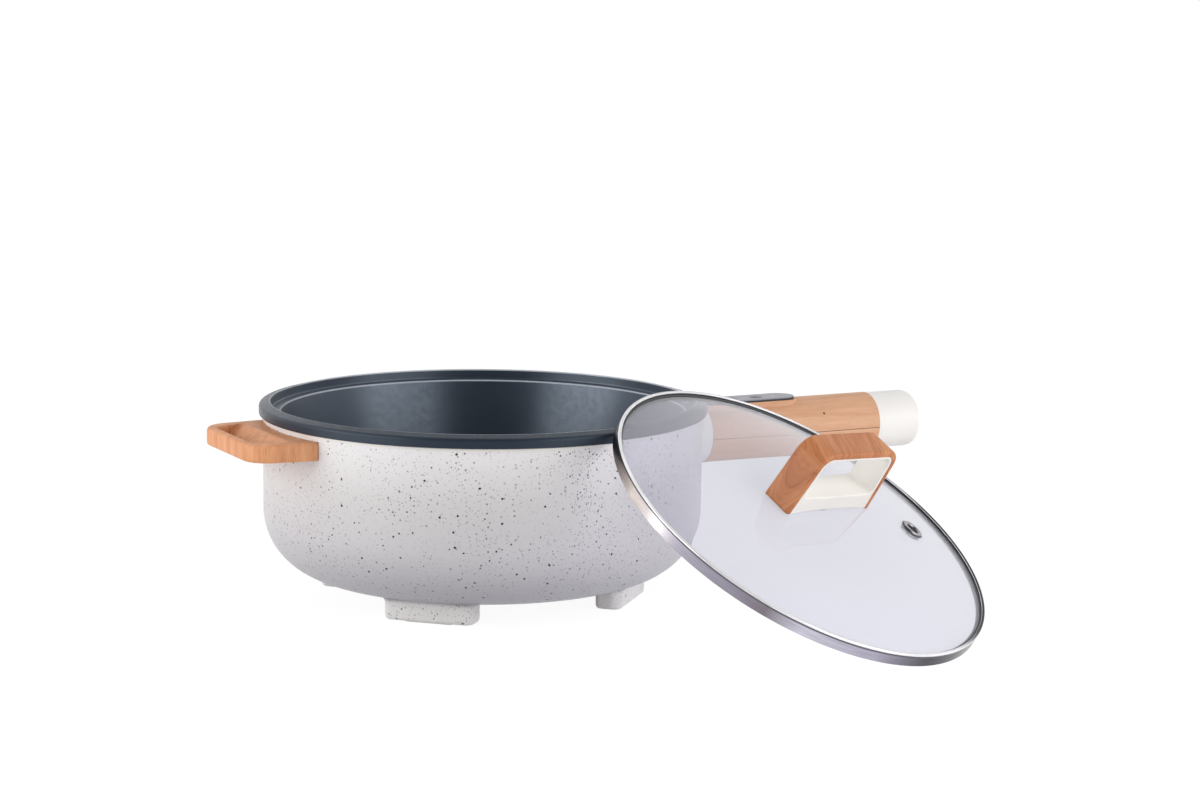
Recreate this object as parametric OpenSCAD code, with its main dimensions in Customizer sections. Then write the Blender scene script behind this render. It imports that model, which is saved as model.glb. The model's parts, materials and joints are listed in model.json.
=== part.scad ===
// Electric skillet: a speckled round pot with a nonstick pan, a loop side handle, a long round
// handle with a control panel, and a loose glass lid that leans on the pot.
// Millimetres. +X runs along the long handle, +Z is up and z = 0 is the table.

/* [Pot] */
// Outer radius of the pan's rim
rim_r = 150; // [138:1:160]
// Height of the rim above the table
pot_h = 129; // [122:1:145]
// Height of the shell's floor above the table
stand_h = 14.2; // [12:0.1:16]
// Radius of the shell's rounded lower edge
corner_r = 45; // [36:1:50]
// Thickness of the shell
shell_t = 2.2; // [1.8:0.1:2.6]
// Thickness of the pan
pan_t = 2.8; // [2.2:0.1:3.2]
// Height of the pan's inner floor above the table
floor_h = 36; // [36:1:44]
// Height of the rim's dark outer band
band_h = 6.4; // [5.5:0.1:8]
// Depth of the rim's outer step
seat_depth = 5; // [4:0.1:6]
// Width of the ledge under the lid
ledge_w = 7; // [6:0.5:10]

/* [Feet] */
// Length of a foot around the pot
foot_len = 57; // [44:1:62]
// Radial width of a foot
foot_w = 17; // [14:0.5:19]

/* [Side handle] */
// Distance from the pot's axis to the loop's outer face
side_reach = 184; // [176:1:196]
// Thickness of the loop's bar
side_bar = 12; // [10:0.5:13]
// Depth of the loop's top below the rim
side_drop = 10.2; // [9.5:0.1:16]

/* [Long handle] */
// Radius of the wooden grip
grip_r = 20.7; // [19.5:0.1:22]
// Depth of the grip's axis below the rim
grip_drop = 32.2; // [30:0.1:36]
// Length of the white collar between the pot and the grip
collar_len = 20.2; // [18:0.1:26]
// Length of the grip
grip_len = 138.5; // [134:0.5:160]
// Length of the white end cap
cap_len = 35; // [32:0.5:40]
// Length of the control panel
panel_len = 72; // [66:0.5:76]
// Width of the control panel
panel_w = 21; // [19:0.5:23]
// Travel of a push button
button_travel = 0.8; // [0.5:0.1:1]

/* [Lid] */
// Gap around the lid when it sits in the pan
lid_play = 1.7; // [1:0.1:2.5]
// Height of the lid's steel rim
lid_skirt = 7.6; // [7:0.1:9]
// Rise of the glass dome
lid_rise = 18; // [15:0.5:24]
// Thickness of the glass
glass_t = 4; // [3.8:0.1:4.2]
// Slope at which the lid leans
lid_tilt = 31.78; // [29:0.01:34]
// Direction from the pot to the lid's foot
lid_heading = -61.25; // [-66:0.01:-56]
// Distance of the lid's centre line to the side of the pot's axis
lid_offset = 13.3; // [4:0.01:20]
// Half length of the lid handle at the glass
knob_half = 39; // [36:0.5:42]
// Height of the lid handle's white core
knob_h = 42; // [38:0.5:45]
// Width of the lid handle
knob_w = 21; // [18:0.5:22]

/* [Hidden] */
$fn = 72;
// pot
shell_r = rim_r - 2.7;
shell_in = shell_r - shell_t;
lid_r = rim_r - 18.5;
step_r = rim_r - 7.6;
pan_under = step_r + pan_t - 0.6;
step_z = pot_h - seat_depth;
seat_r = lid_r + lid_play;
seat_z = step_z - 3.4;
bowl_r = seat_r - ledge_w;
bowl_corner = 40;
rim_round = 2.6;
plate_z = pot_h - 3;
seal_t = 0.8;
cover_r = shell_r - corner_r - 12.5;
cover_t = 2.2;
cover_lip = 6;
screw_ring = cover_r - cover_lip / 2;
// feet
foot_out = shell_r - corner_r + 7.7;
pad_h = 1.4;
pad_out = 0.4;
// heater
heat_z = floor_h - pan_t;
heat_plate_t = 3.2;
heat_plate_z = heat_z - heat_plate_t;
shield_r = screw_ring - 4.4;
coil_r = shield_r - 7.4;
coil_tube = 3.3;
coil_z = heat_plate_z - 1;
coil_gap = 24;
shield_z = stand_h + 5.8;
shield_t = 0.8;
// side handle
side_z = pot_h - side_drop - side_bar / 2;
side_corner = 18;
side_splay = 2.5;
side_root = 50;
side_root_x = 130;
side_screw_y = 44.5;
side_bracket_t = 4;
// long handle
axis_z = pot_h - grip_drop;
grip_in = grip_r - 2.6;
grip_x = shell_r + collar_len;
cap_x = grip_x + grip_len;
end_x = cap_x + cap_len;
seam_z = axis_z - 2;
spigot = 6;
collar_in = grip_r - 5.5;
panel_x = grip_x + 4;
panel_end = panel_x + panel_len;
plinth_z = axis_z + grip_r + 0.1;
panel_t = 2;
plinth_w = panel_w + 3;
button_r = 4.2;
button_gap = 0.3;
button_x = [panel_x + 22, panel_x + 42];
lens_x = panel_x + 56;
board_x = [panel_x + 2, panel_end - 4];
board_z = axis_z + 6;
board_t = 1.6;
switch_top = board_z + board_t + 4.6;
tongue_z = [axis_z - 16, axis_z - 14];
tongue_end = grip_x + 58;
bracket_screw_x = grip_x + 38;
grip_screw_x = [cap_x - 50, cap_x - 14];
plug_x = cap_x - 46;
plug_turn = 59;
plug_r = 1;
// power inlet
inlet_w = 27.4;
inlet_h = 19.6;
inlet_depth = 16;
inlet_back = 4;
pin_at = [[-7, -2], [7, -2], [0, 2]];
// lid
lid_edge = lid_r - 3.6;
lid_glass_z = 3;
lid_sheet = 0.6;
dome_r = (pow(lid_edge, 2) + pow(lid_rise, 2)) / (2 * lid_rise);
dome_z = lid_glass_z + lid_rise - dome_r;
apex_z = dome_z + dome_r + glass_t;
lid_clear = 0.35;
knob_turn = 80.3;
knob_top = 34.5 / 39 * knob_half;
knob_wall = 6.5;
strap_t = 2.8;
vent_reach = 82;
vent_turn = 59.6;
vent_lean = asin(vent_reach / dome_r);
vent_r = 7.4;
vent_hole = 4.2;

// Distance of the lid's centre from the pot's axis at which its skirt or glass just clears the pan's rim
lid_z = lid_r * sin(lid_tilt) + 0.02;
lid_along = [cos(lid_heading), sin(lid_heading), 0];
lid_across = [-sin(lid_heading), cos(lid_heading), 0];
lid_normal = sin(lid_tilt) * lid_along + [0, 0, cos(lid_tilt)];
function lid_centre(reach) = reach * lid_along + lid_offset * lid_across + [0, 0, lid_z];
function under_lid(r) =
  r < lid_edge ? dome_z + sqrt(dome_r * dome_r - r * r) :
  r < lid_r - 2 * lid_sheet ? lid_glass_z - lid_sheet :
  r < lid_r + lid_sheet ? 0 : 1000;
function edge_gap(p) =
  let (up = p * lid_normal, out = norm(p - up * lid_normal))
  under_lid(out) - up;
function lean_gap(reach) =
  let (r = rim_r - rim_round * (1 - sin(lid_tilt)), z = pot_h - rim_round * (1 - cos(lid_tilt)))
  min([for (a = [0:0.25:359]) edge_gap([r * cos(a), r * sin(a), z] - lid_centre(reach))]);
function lean_reach(near, far, steps) =
  steps == 0 ? far :
  let (mid = (near + far) / 2)
  lean_gap(mid) > lid_clear ? lean_reach(near, mid, steps - 1) : lean_reach(mid, far, steps - 1);
lid_pos = lid_centre(lean_reach(0.7 * rim_r, 2.6 * rim_r, 24));

// The origin is the middle of the whole object's box, on the table
lid_low_y = lid_pos.y - lid_r * sqrt(1 - pow(lid_normal.y, 2)) + min(0, lid_skirt * lid_normal.y);
shift = [-(end_x - side_reach) / 2, -(lid_low_y + rim_r) / 2, 0];

// Rounds one corner of an outline with an arc
function corner(p, before, after, r) =
  let (u = (before - p) / norm(before - p), v = (after - p) / norm(after - p))
  let (half = acos(u * v) / 2, c = p + (u + v) / norm(u + v) * r / sin(half))
  let (s = p + u * r / tan(half) - c, e = p + v * r / tan(half) - c)
  let (a = atan2(s.y, s.x), d = atan2(e.y, e.x) - a, sweep = d > 180 ? d - 360 : d < -180 ? d + 360 : d)
  let (n = max(3, ceil(abs(sweep) / 9)))
  [for (i = [0:n]) c + r * [cos(a + sweep * i / n), sin(a + sweep * i / n)]];

// An outline of corner points, each rounded by its own radius
function rounded(points, radii) =
  let (n = len(points))
  [for (i = [0:n - 1]) each radii[i] == 0 ? [points[i]] :
    corner(points[i], points[(i + n - 1) % n], points[(i + 1) % n], radii[i])];

// A rectangle with round corners
function round_rect(x0, y0, x1, y1, r) = rounded([[x0, y0], [x1, y0], [x1, y1], [x0, y1]], [r, r, r, r]);

// An arc of points about a centre
function arc(cx, cy, r, from, to, n) =
  [for (i = [0:n]) [cx + r * cos(from + (to - from) * i / n), cy + r * sin(from + (to - from) * i / n)]];

// The panel's outline: square at the pot and round at the far end
function tongue_plan(x0, x1, half) = concat([[x0, -half]], arc(x1 - half, 0, half, -90, 90, 20), [[x0, half]]);

// Wire swept along hand-chosen points
function ring(p, dir, r, n) =
  let (t = dir / norm(dir), a = abs(t.z) < 0.9 ? cross(t, [0, 0, 1]) : cross(t, [1, 0, 0]))
  let (u = a / norm(a), v = cross(t, u))
  [for (i = [0:n - 1]) p + r * (cos(360 * i / n) * u + sin(360 * i / n) * v)];
function heading(path, i) =
  i == 0 ? path[1] - path[0] :
  i == len(path) - 1 ? path[i] - path[i - 1] :
  (path[i + 1] - path[i]) / norm(path[i + 1] - path[i]) + (path[i] - path[i - 1]) / norm(path[i] - path[i - 1]);
module wire(path, r) {
  n = 8;
  rings = len(path);
  points = [for (i = [0:rings - 1]) each ring(path[i], heading(path, i), r, n)];
  sides = [for (i = [0:rings - 2]) for (j = [0:n - 1])
    each let (a = i * n + j, b = i * n + (j + 1) % n) [[a, a + n, b], [b, a + n, b + n]]];
  ends = [for (j = [1:n - 2]) each [[0, j, j + 1], [(rings - 1) * n, (rings - 1) * n + j + 1, (rings - 1) * n + j]]];
  polyhedron(points, concat(sides, ends));
}

// A cylinder along the long handle
module along(x0, x1, r) {
  translate([x0, 0, axis_z]) rotate([0, 90, 0]) cylinder(h = x1 - x0, r = r);
}

// A turned ring about the pot's axis
module turned(points) {
  rotate_extrude() polygon(points);
}

// A screw along +X with its head's face at x = 0
module screw_x(head_r, head_t, shank_r, shank_len) {
  rotate([0, 90, 0]) {
    translate([0, 0, -head_t]) cylinder(h = head_t, r = head_r);
    cylinder(h = shank_len, r = shank_r);
  }
}

module lid_frame() {
  translate(shift + lid_pos) rotate([0, lid_tilt, lid_heading]) children();
}

module knob_frame() {
  lid_frame() rotate([0, 0, knob_turn]) rotate([90, 0, 0]) children();
}

module vent_frame() {
  translate([0, 0, dome_z]) rotate([0, vent_lean, vent_turn]) translate([0, 0, dome_r]) children();
}

// pot

module inner_pan() {
  points = [[0, floor_h], [bowl_r, floor_h], [bowl_r, seat_z], [seat_r, seat_z], [seat_r, step_z], [step_r, step_z],
    [step_r, pot_h], [rim_r, pot_h], [rim_r, pot_h - band_h], [shell_r + 0.3, pot_h - band_h],
    [shell_r + 0.3, plate_z], [pan_under, plate_z], [pan_under, step_z - pan_t],
    [seat_r + pan_t, step_z - pan_t], [seat_r + pan_t, seat_z - pan_t], [bowl_r + pan_t, seat_z - pan_t],
    [bowl_r + pan_t, heat_z], [0, heat_z]];
  radii = [0, bowl_corner, 3, 0.6, 1, 0.8, 1.5, rim_round, 0.8, 0, 0, 0.6, 1.5, 0.6, 1.5, 0.8,
    bowl_corner + pan_t, 0];
  color([0.2, 0.23, 0.27]) translate(shift) turned(rounded(points, radii));
}

module outer_shell() {
  points = [[shell_r, plate_z - seal_t], [shell_r, stand_h], [cover_r, stand_h], [cover_r, stand_h + cover_t],
    [cover_r - cover_lip, stand_h + cover_t], [cover_r - cover_lip, stand_h + 2 * cover_t],
    [cover_r + 4, stand_h + 2 * cover_t], [cover_r + 4, stand_h + shell_t], [shell_in, stand_h + shell_t],
    [shell_in, plate_z - seal_t]];
  radii = [0, corner_r, 0, 0, 0, 0, 0, 0, corner_r - shell_t, 0];
  color([0.86, 0.85, 0.85]) translate(shift) difference() {
    union() {
      turned(rounded(points, radii));
      for (a = [0:90:270]) rotate([0, 0, a])
        translate([screw_ring, 0, stand_h + 2 * cover_t - 0.5]) cylinder(h = 7, r = 2.9);
    }
    for (a = [0:90:270]) rotate([0, 0, a])
      translate([screw_ring, 0, stand_h]) cylinder(h = 10, r = 1.5);
    along(shell_in - 10, shell_r + 10, 7);
    translate([shell_in - 10, -7.3, tongue_z[0] - 0.2]) cube([30, 14.6, tongue_z[1] - tongue_z[0] + 0.4]);
    for (s = [-1, 1]) {
      translate([shell_in - 10, s * 9, axis_z + 15.4]) rotate([0, 90, 0]) cylinder(h = 30, r = 1.7);
      translate([-shell_r - 5, s * side_screw_y, side_z]) rotate([0, 90, 0]) cylinder(h = 30, r = 1.9);
    }
  }
}

module pan_seal() {
  color([0.75, 0.75, 0.75]) translate(shift + [0, 0, plate_z - seal_t]) difference() {
    cylinder(h = seal_t, r = shell_r);
    translate([0, 0, -1]) cylinder(h = seal_t + 2, r = pan_under + 0.7);
  }
}

module base_cover() {
  slots = 16;
  color([0.8, 0.79, 0.78]) translate(shift + [0, 0, stand_h]) difference() {
    cylinder(h = cover_t, r = cover_r - 0.2);
    for (a = [0:90:270]) rotate([0, 0, a]) translate([screw_ring, 0, -1]) cylinder(h = 10, r = 1.7);
    for (i = [0:slots - 1]) rotate([0, 0, 360 * (i + 0.5) / slots])
      translate([0, 0, -1]) linear_extrude(10) polygon(round_rect(38, -1.5, 62, 1.5, 1.4));
  }
}

module base_screw(i) {
  head_t = 1.8;
  color([0.7, 0.7, 0.72]) translate(shift) rotate([0, 0, 90 * (i - 1)]) translate([screw_ring, 0, stand_h]) {
    translate([0, 0, -head_t]) cylinder(h = head_t, r = 2.9);
    cylinder(h = 9, r = 1.45);
  }
}

module foot(i) {
  inner = foot_out - foot_w;
  mid = shell_r - corner_r;
  lean = asin((foot_out - mid) / corner_r);
  bottom = rounded([[inner, stand_h], [inner, pad_out], [foot_out, pad_out], [foot_out, stand_h]], [0, 2, 3.5, 0]);
  section = concat([for (k = [0:len(bottom) - 2]) bottom[k]],
    arc(mid, stand_h + corner_r, corner_r, lean - 90, -90, 5));
  color([0.84, 0.83, 0.81]) translate(shift) rotate([0, 0, 90 * i - 45]) difference() {
    intersection() {
      turned(section);
      linear_extrude(stand_h + 5)
        polygon(round_rect(0.8 * inner, -foot_len / 2, foot_out + 1, foot_len / 2, 6));
    }
    linear_extrude(pad_h) polygon(pad_plan(0));
  }
}

function pad_plan(gap) =
  round_rect(foot_out - foot_w + 4.5 + gap, -foot_len / 2 + 12 + gap, foot_out - 5 - gap, foot_len / 2 - 12 - gap, 3);

module foot_pad(i) {
  color([0.9, 0.9, 0.88]) translate(shift) rotate([0, 0, 90 * i - 45])
    linear_extrude(pad_h) polygon(pad_plan(0.1));
}

// heater

module heat_plate() {
  color([0.75, 0.76, 0.78]) translate(shift) difference() {
    translate([0, 0, heat_plate_z]) cylinder(h = heat_plate_t, r = coil_r + 11);
    rotate_extrude() translate([coil_r, coil_z]) circle(r = coil_tube);
  }
}

module heating_element() {
  color([0.35, 0.34, 0.33]) translate(shift) {
    rotate_extrude(angle = 360 - 2 * coil_gap, start = coil_gap) translate([coil_r, coil_z]) circle(r = coil_tube);
    for (s = [-1, 1]) rotate([0, 0, s * (coil_gap + 1)])
      translate([coil_r, 0, shield_z + 3]) cylinder(h = heat_plate_z - shield_z - 3.3, r = 3.9);
  }
}

module heat_shield() {
  points = [[2.9, shield_z], [shield_r, shield_z], [shield_r, shield_z + 4], [shield_r - shield_t, shield_z + 4],
    [shield_r - shield_t, shield_z + shield_t], [2.9, shield_z + shield_t]];
  color([0.78, 0.79, 0.8]) translate(shift) turned(rounded(points, [0, 2, 0, 0, 1.2, 0]));
}

module shield_post() {
  color([0.65, 0.65, 0.66]) translate(shift) {
    translate([0, 0, shield_z + shield_t]) cylinder(h = heat_plate_z - shield_z - shield_t, r = 5);
    translate([0, 0, shield_z - 2.8]) cylinder(h = 4, r = 2.5);
  }
}

module shield_nut() {
  color([0.7, 0.7, 0.7]) translate(shift + [0, 0, shield_z - 2.2]) difference() {
    cylinder(h = 2.2, r = 4.6, $fn = 6);
    translate([0, 0, -1]) cylinder(h = 5, r = 2.55);
  }
}

module thermostat() {
  color([0.2, 0.2, 0.2]) translate(shift + [-38, 0, 0]) {
    translate([0, 0, heat_plate_z - 7]) cylinder(h = 7, r = 8);
    translate([-14, -3.1, heat_plate_z - 5]) cube([28, 6.2, 0.8]);
  }
}

module thermal_fuse() {
  color([0.85, 0.82, 0.75]) translate(shift + [0, -46, heat_plate_z - 2.2]) rotate([90, 0, 90]) {
    translate([0, 0, -7]) cylinder(h = 14, r = 2.2);
    translate([0, 0, -16]) cylinder(h = 32, r = 0.6);
  }
}

module heater_lead(i) {
  side = i - 2;
  wire_r = 1.3;
  end_a = side * (coil_gap + 1);
  end_r = side == 0 ? coil_r + 7 : coil_r + 3.85;
  gap_r = (shell_in + bowl_r + pan_t) / 2;
  end_z = side == 0 ? heat_plate_z - 1.15 : shield_z + 5.5;
  turn_z = side == 0 ? shield_z + 7.2 : shield_z + 6;
  path = [[board_x[0], side * 4, board_z + board_t / 2], [board_x[0] - 6, side * 4, board_z],
    [shell_r, side * 4, axis_z], [gap_r + 2, side * 4, axis_z - 3], [gap_r, side * 4, axis_z - 12],
    [gap_r, side * 4, stand_h + corner_r], [shell_r - corner_r + 17, side * 8, shield_z + 9],
    [shell_r - corner_r, side * 16, shield_z + 6.5],
    [(end_r + 7) * cos(end_a), (end_r + 7) * sin(end_a), turn_z],
    [end_r * cos(end_a), end_r * sin(end_a), end_z]];
  color([0.75, 0.2, 0.15]) translate(shift) wire(path, wire_r);
}

// side handle

// The handle's outline from above
function side_plan() =
  let (wide = side_root + (side_reach - side_root_x) * -tan(side_splay))
  rounded([[-side_root_x, -side_root], [-side_reach, -wide], [-side_reach, wide], [-side_root_x, side_root]],
    [0, side_corner, side_corner, 0]);

// A block along +Y whose two edges at x = 0 are rounded, to round the handle's outer edges
module side_round() {
  edge = 0.05;
  rotate([90, 0, 0]) linear_extrude(200, center = true)
    polygon(rounded([[-edge, -edge], [100, -edge], [100, side_bar + edge], [-edge, side_bar + edge]],
      [2.4, 0, 0, 3]));
}

module side_handle() {
  low = side_z - side_bar / 2;
  top = side_z + side_bar / 2;
  slot_x = side_reach - 6.5;
  ramp_x = side_reach - 27.5;
  foot_x = slot_x - 6.5;
  well = [[-slot_x, top + 1], [-slot_x, low - 1], [-foot_x, low - 1], [-foot_x, low + 2], [-ramp_x, top],
    [-ramp_x, top + 1]];
  under = [[-foot_x + 4, low - 1], [-foot_x + 4, low + 0.6], [-ramp_x + 1, top - 3.4], [-100, top - 3.4],
    [-100, low - 1]];
  hollow = rounded([[-150, -41.5], [-slot_x, -33.5], [-slot_x, 33.5], [-150, 41.5]], [1, 6, 6, 1]);
  color([0.78, 0.55, 0.42]) translate(shift) difference() {
    intersection() {
      translate([0, 0, low]) linear_extrude(side_bar) polygon(side_plan());
      translate([-side_reach, 0, low]) side_round();
      translate([-side_root_x, side_root, low]) rotate([0, 0, side_splay - 90]) side_round();
      translate([-side_root_x, -side_root, low]) rotate([0, 0, 90 - side_splay]) side_round();
    }
    cylinder(h = pot_h, r = shell_r);
    intersection() {
      translate([0, 0, low - 2]) linear_extrude(side_bar + 4) polygon(hollow);
      rotate([90, 0, 0]) linear_extrude(200, center = true) polygon(well);
    }
    intersection() {
      translate([0, 0, low - 2]) linear_extrude(side_bar) polygon(hollow);
      rotate([90, 0, 0]) linear_extrude(200, center = true) polygon(under);
    }
    for (s = [-1, 1])
      translate([-shell_r - 9.5, s * side_screw_y, side_z]) rotate([0, 90, 0]) cylinder(h = 40, r = 1.6);
  }
}

module side_bracket() {
  seat_x = sqrt(pow(shell_in - side_bracket_t, 2) - pow(side_screw_y - 3.4, 2)) + 0.4;
  color([0.7, 0.7, 0.72]) translate(shift) difference() {
    rotate_extrude(angle = 48, start = 156) translate([shell_in - side_bracket_t, side_z - 5])
      square([side_bracket_t, 10]);
    for (s = [-1, 1]) translate([-shell_in, s * side_screw_y, side_z]) rotate([0, 90, 0]) {
      cylinder(h = 40, r = 1.9);
      translate([0, 0, shell_in - seat_x]) cylinder(h = 40, r = 3.4);
    }
  }
}

module side_screw(i) {
  s = i == 1 ? -1 : 1;
  seat_x = sqrt(pow(shell_in - side_bracket_t, 2) - pow(side_screw_y - 3.4, 2)) + 0.4;
  color([0.7, 0.7, 0.72]) translate(shift + [-seat_x, s * side_screw_y, side_z]) rotate([0, 0, 180])
    screw_x(3.1, 1.8, 1.5, 18);
}

// long handle

module handle_bracket() {
  reach = 8.5;
  inner = shell_in - 2.4;
  color([0.7, 0.7, 0.72]) translate(shift) difference() {
    union() {
      rotate_extrude(angle = 2 * reach, start = -reach) translate([inner, axis_z - 20])
        square([2.4, 40]);
      translate([inner + 0.5, -7, tongue_z[0]]) cube([tongue_end - inner - 0.5, 14, tongue_z[1] - tongue_z[0]]);
    }
    along(inner - 10, shell_r, 7.5);
    for (s = [-1, 1]) translate([0, s * 9, axis_z + 15.4]) rotate([0, 90, 0]) {
      cylinder(h = 200, r = 1.7);
      translate([0, 0, inner - 10]) cylinder(h = 10.4, r = 3.2);
    }
    translate([bracket_screw_x, 0, tongue_z[0] - 1]) cylinder(h = 10, r = 1.5);
  }
}

module collar_screw(i) {
  s = i == 1 ? -1 : 1;
  color([0.7, 0.7, 0.72]) translate(shift + [shell_in - 2, s * 9, axis_z + 15.4]) screw_x(2.9, 1.8, 1.35, 15);
}

module handle_collar() {
  color([0.93, 0.93, 0.92]) translate(shift) difference() {
    union() {
      along(shell_r - 20, grip_x, grip_r - 0.2);
      along(grip_x - 1, grip_x + spigot, grip_in - 0.1);
    }
    cylinder(h = pot_h, r = shell_r);
    along(shell_r - 30, grip_x + 30, collar_in);
    translate([shell_r - 30, -7.3, tongue_z[0] - 0.2]) cube([80, 14.6, tongue_z[1] - tongue_z[0] + 0.4]);
    for (s = [-1, 1]) translate([shell_r - 20, s * 9, axis_z + 15.4]) rotate([0, 90, 0])
      cylinder(h = 34, r = 1.4);
  }
}

module handle_lower() {
  color([0.81, 0.6, 0.48]) translate(shift) difference() {
    intersection() {
      union() {
        difference() {
          along(grip_x, cap_x, grip_r);
          along(grip_x - 1, cap_x + 1, grip_in);
        }
        for (x = grip_screw_x) translate([x, 0, axis_z - grip_r + 1.5]) cylinder(h = grip_r, r = 4.2);
        translate([bracket_screw_x, 0, axis_z - grip_r + 1.5]) cylinder(h = tongue_z[0] - axis_z + grip_r - 1.5, r = 4.2);
      }
      translate([grip_x - 1, -30, 0]) cube([grip_len + 2, 60, seam_z]);
    }
    for (x = grip_screw_x) translate([x, 0, axis_z - grip_r - 1]) {
      cylinder(h = 30, r = 1.8);
      cylinder(h = 5, r = 3.3);
    }
    translate([bracket_screw_x, 0, axis_z - grip_r - 1]) {
      cylinder(h = 30, r = 1.8);
      cylinder(h = 3.2, r = 3.3);
    }
  }
}

module handle_upper() {
  color([0.85, 0.65, 0.53]) translate(shift) difference() {
    intersection() {
      union() {
        difference() {
          union() {
            along(grip_x, cap_x, grip_r);
            translate([0, 0, axis_z]) linear_extrude(plinth_z - axis_z)
              polygon(tongue_plan(grip_x, panel_end + 2, plinth_w / 2));
          }
          along(grip_x - 1, cap_x + 1, grip_in);
        }
        for (x = grip_screw_x) translate([x, 0, seam_z]) cylinder(h = grip_r, r = 4.2);
        for (x = [board_x[0] + 6, board_x[1] - 6]) for (s = [-1, 1])
          translate([x, s * 6.5, board_z + board_t]) cylinder(h = 10.5, r = 1.8);
      }
      translate([grip_x - 1, -30, seam_z]) cube([grip_len + 2, 60, 40]);
    }
    for (x = grip_screw_x) translate([x, 0, seam_z - 1]) cylinder(h = 13, r = 1.4);
    for (x = button_x) translate([x, 0, axis_z]) cylinder(h = 40, r = button_r + 1.7);
    translate([lens_x, 0, axis_z]) cylinder(h = 40, r = 1.7);
    translate([plug_x, 0, axis_z]) rotate([plug_turn, 0, 0]) cylinder(h = 40, r = plug_r);
  }
}

module bracket_screw() {
  color([0.7, 0.7, 0.72]) translate(shift + [bracket_screw_x, 0, axis_z - grip_r + 2.2]) rotate([0, -90, 0])
    screw_x(3, 1.8, 1.35, 8);
}

module grip_screw(i) {
  color([0.7, 0.7, 0.72]) translate(shift + [grip_screw_x[i - 1], 0, axis_z - grip_r + 4]) rotate([0, -90, 0])
    screw_x(3, 1.8, 1.35, 24);
}

module grip_plug() {
  color([0.2, 0.14, 0.1]) translate(shift + [plug_x, 0, axis_z]) rotate([plug_turn, 0, 0])
    translate([0, 0, grip_in]) cylinder(h = grip_r - grip_in - 0.1, r = plug_r);
}

module handle_end_cap() {
  r = grip_r - 0.4;
  points = [[collar_in, -spigot], [grip_in - 0.1, -spigot], [grip_in - 0.1, 0], [r, 0], [r, cap_len], [0, cap_len],
    [0, cap_len - 3], [grip_in - 0.4, cap_len - 3], [grip_in - 0.4, 3], [collar_in, 3]];
  color([0.97, 0.97, 0.96]) translate(shift) difference() {
    translate([cap_x, 0, axis_z]) rotate([0, 90, 0])
      rotate_extrude() polygon(rounded(points, [0, 0, 0, 0.5, 5, 0, 0, 2, 0, 0]));
    translate([end_x - 10, 0, axis_z]) inlet_prism(inlet_w + 0.2, inlet_h + 0.2, 20, 4);
  }
}

// A rounded block along the long handle, for the power inlet
module inlet_prism(w, h, len, r) {
  rotate([90, 0, 90]) linear_extrude(len) polygon(round_rect(-w / 2, -h / 2, w / 2, h / 2, r));
}

module power_inlet() {
  cavity = rounded([[-12, -8.2], [12, -8.2], [12, 3.4], [7.4, 8.2], [-7.4, 8.2], [-12, 3.4]], [1, 1, 1, 1, 1, 1]);
  color([0.12, 0.12, 0.13]) translate(shift + [end_x - inlet_depth - inlet_back, 0, axis_z]) difference() {
    inlet_prism(inlet_w, inlet_h, inlet_depth + inlet_back, 4);
    translate([inlet_back, 0, 0]) rotate([90, 0, 90]) linear_extrude(inlet_depth + 1) polygon(cavity);
    for (p = pin_at) translate([-1, p.x - 1, p.y - 2]) cube([inlet_back + 2, 2, 4]);
  }
}

module inlet_pin(i) {
  p = pin_at[i - 1];
  color([0.75, 0.72, 0.6]) translate(shift + [end_x - inlet_depth - inlet_back - 5, p.x - 1, axis_z + p.y - 2])
    cube([inlet_depth + inlet_back + 2, 2, 4]);
}

module control_panel() {
  step = 0.6;
  color([0.62, 0.62, 0.66]) translate(shift + [0, 0, plinth_z]) difference() {
    union() {
      linear_extrude(panel_t / 2) polygon(tongue_plan(panel_x + step, panel_end - step, panel_w / 2 - step));
      translate([0, 0, step]) linear_extrude(panel_t - step)
        polygon(tongue_plan(panel_x, panel_end, panel_w / 2));
    }
    for (x = button_x) translate([x, 0, -1]) cylinder(h = 10, r = button_r + button_gap);
    translate([lens_x, 0, -1]) cylinder(h = 10, r = 1.7);
  }
}

module control_board() {
  color([0.15, 0.4, 0.25]) translate(shift) {
    translate([board_x[0], -9, board_z]) cube([board_x[1] - board_x[0], 18, board_t]);
    for (x = button_x) translate([x, 0, board_z + board_t - 0.1]) {
      translate([-3, -3, 0]) cube([6, 6, 3.7]);
      cylinder(h = switch_top - board_z - board_t + 0.1, r = 1.7);
    }
  }
}

module push_button(i) {
  top = plinth_z + panel_t + 0.4;
  color([0.3, 0.3, 0.33]) translate(shift + [button_x[i], 0, 0]) {
    translate([0, 0, plinth_z - 0.9]) cylinder(h = top - plinth_z + 0.9, r = button_r);
    translate([0, 0, plinth_z - 1.4]) cylinder(h = 1, r = button_r + 1.2);
    translate([0, 0, switch_top + button_travel + 0.3])
      cylinder(h = plinth_z - 1 - switch_top - button_travel - 0.3, r = 1.5);
  }
}

module indicator_lens() {
  color([0.9, 0.5, 0.3]) translate(shift + [lens_x, 0, board_z + board_t])
    cylinder(h = plinth_z + panel_t - board_z - board_t, r = 1.6);
}

// lid

module lid_glass() {
  hole = 3.2;
  top_r = dome_r + glass_t;
  top_edge = sqrt(pow(top_r, 2) - pow(lid_glass_z + glass_t - dome_z, 2));
  rim = lid_r - 1.1;
  points = concat(
    arc(0, dome_z, dome_r, 90 - asin(hole / dome_r), 90 - asin(lid_edge / dome_r), 24),
    [[rim, lid_glass_z], [rim, lid_glass_z + glass_t]],
    arc(0, dome_z, top_r, 90 - asin(top_edge / top_r), 90 - asin(hole / top_r), 24));
  color([0.85, 0.86, 0.92, 0.4]) lid_frame() difference() {
    turned(points);
    vent_frame() translate([0, 0, -10]) cylinder(h = 30, r = vent_hole + 0.8);
  }
}

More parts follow.
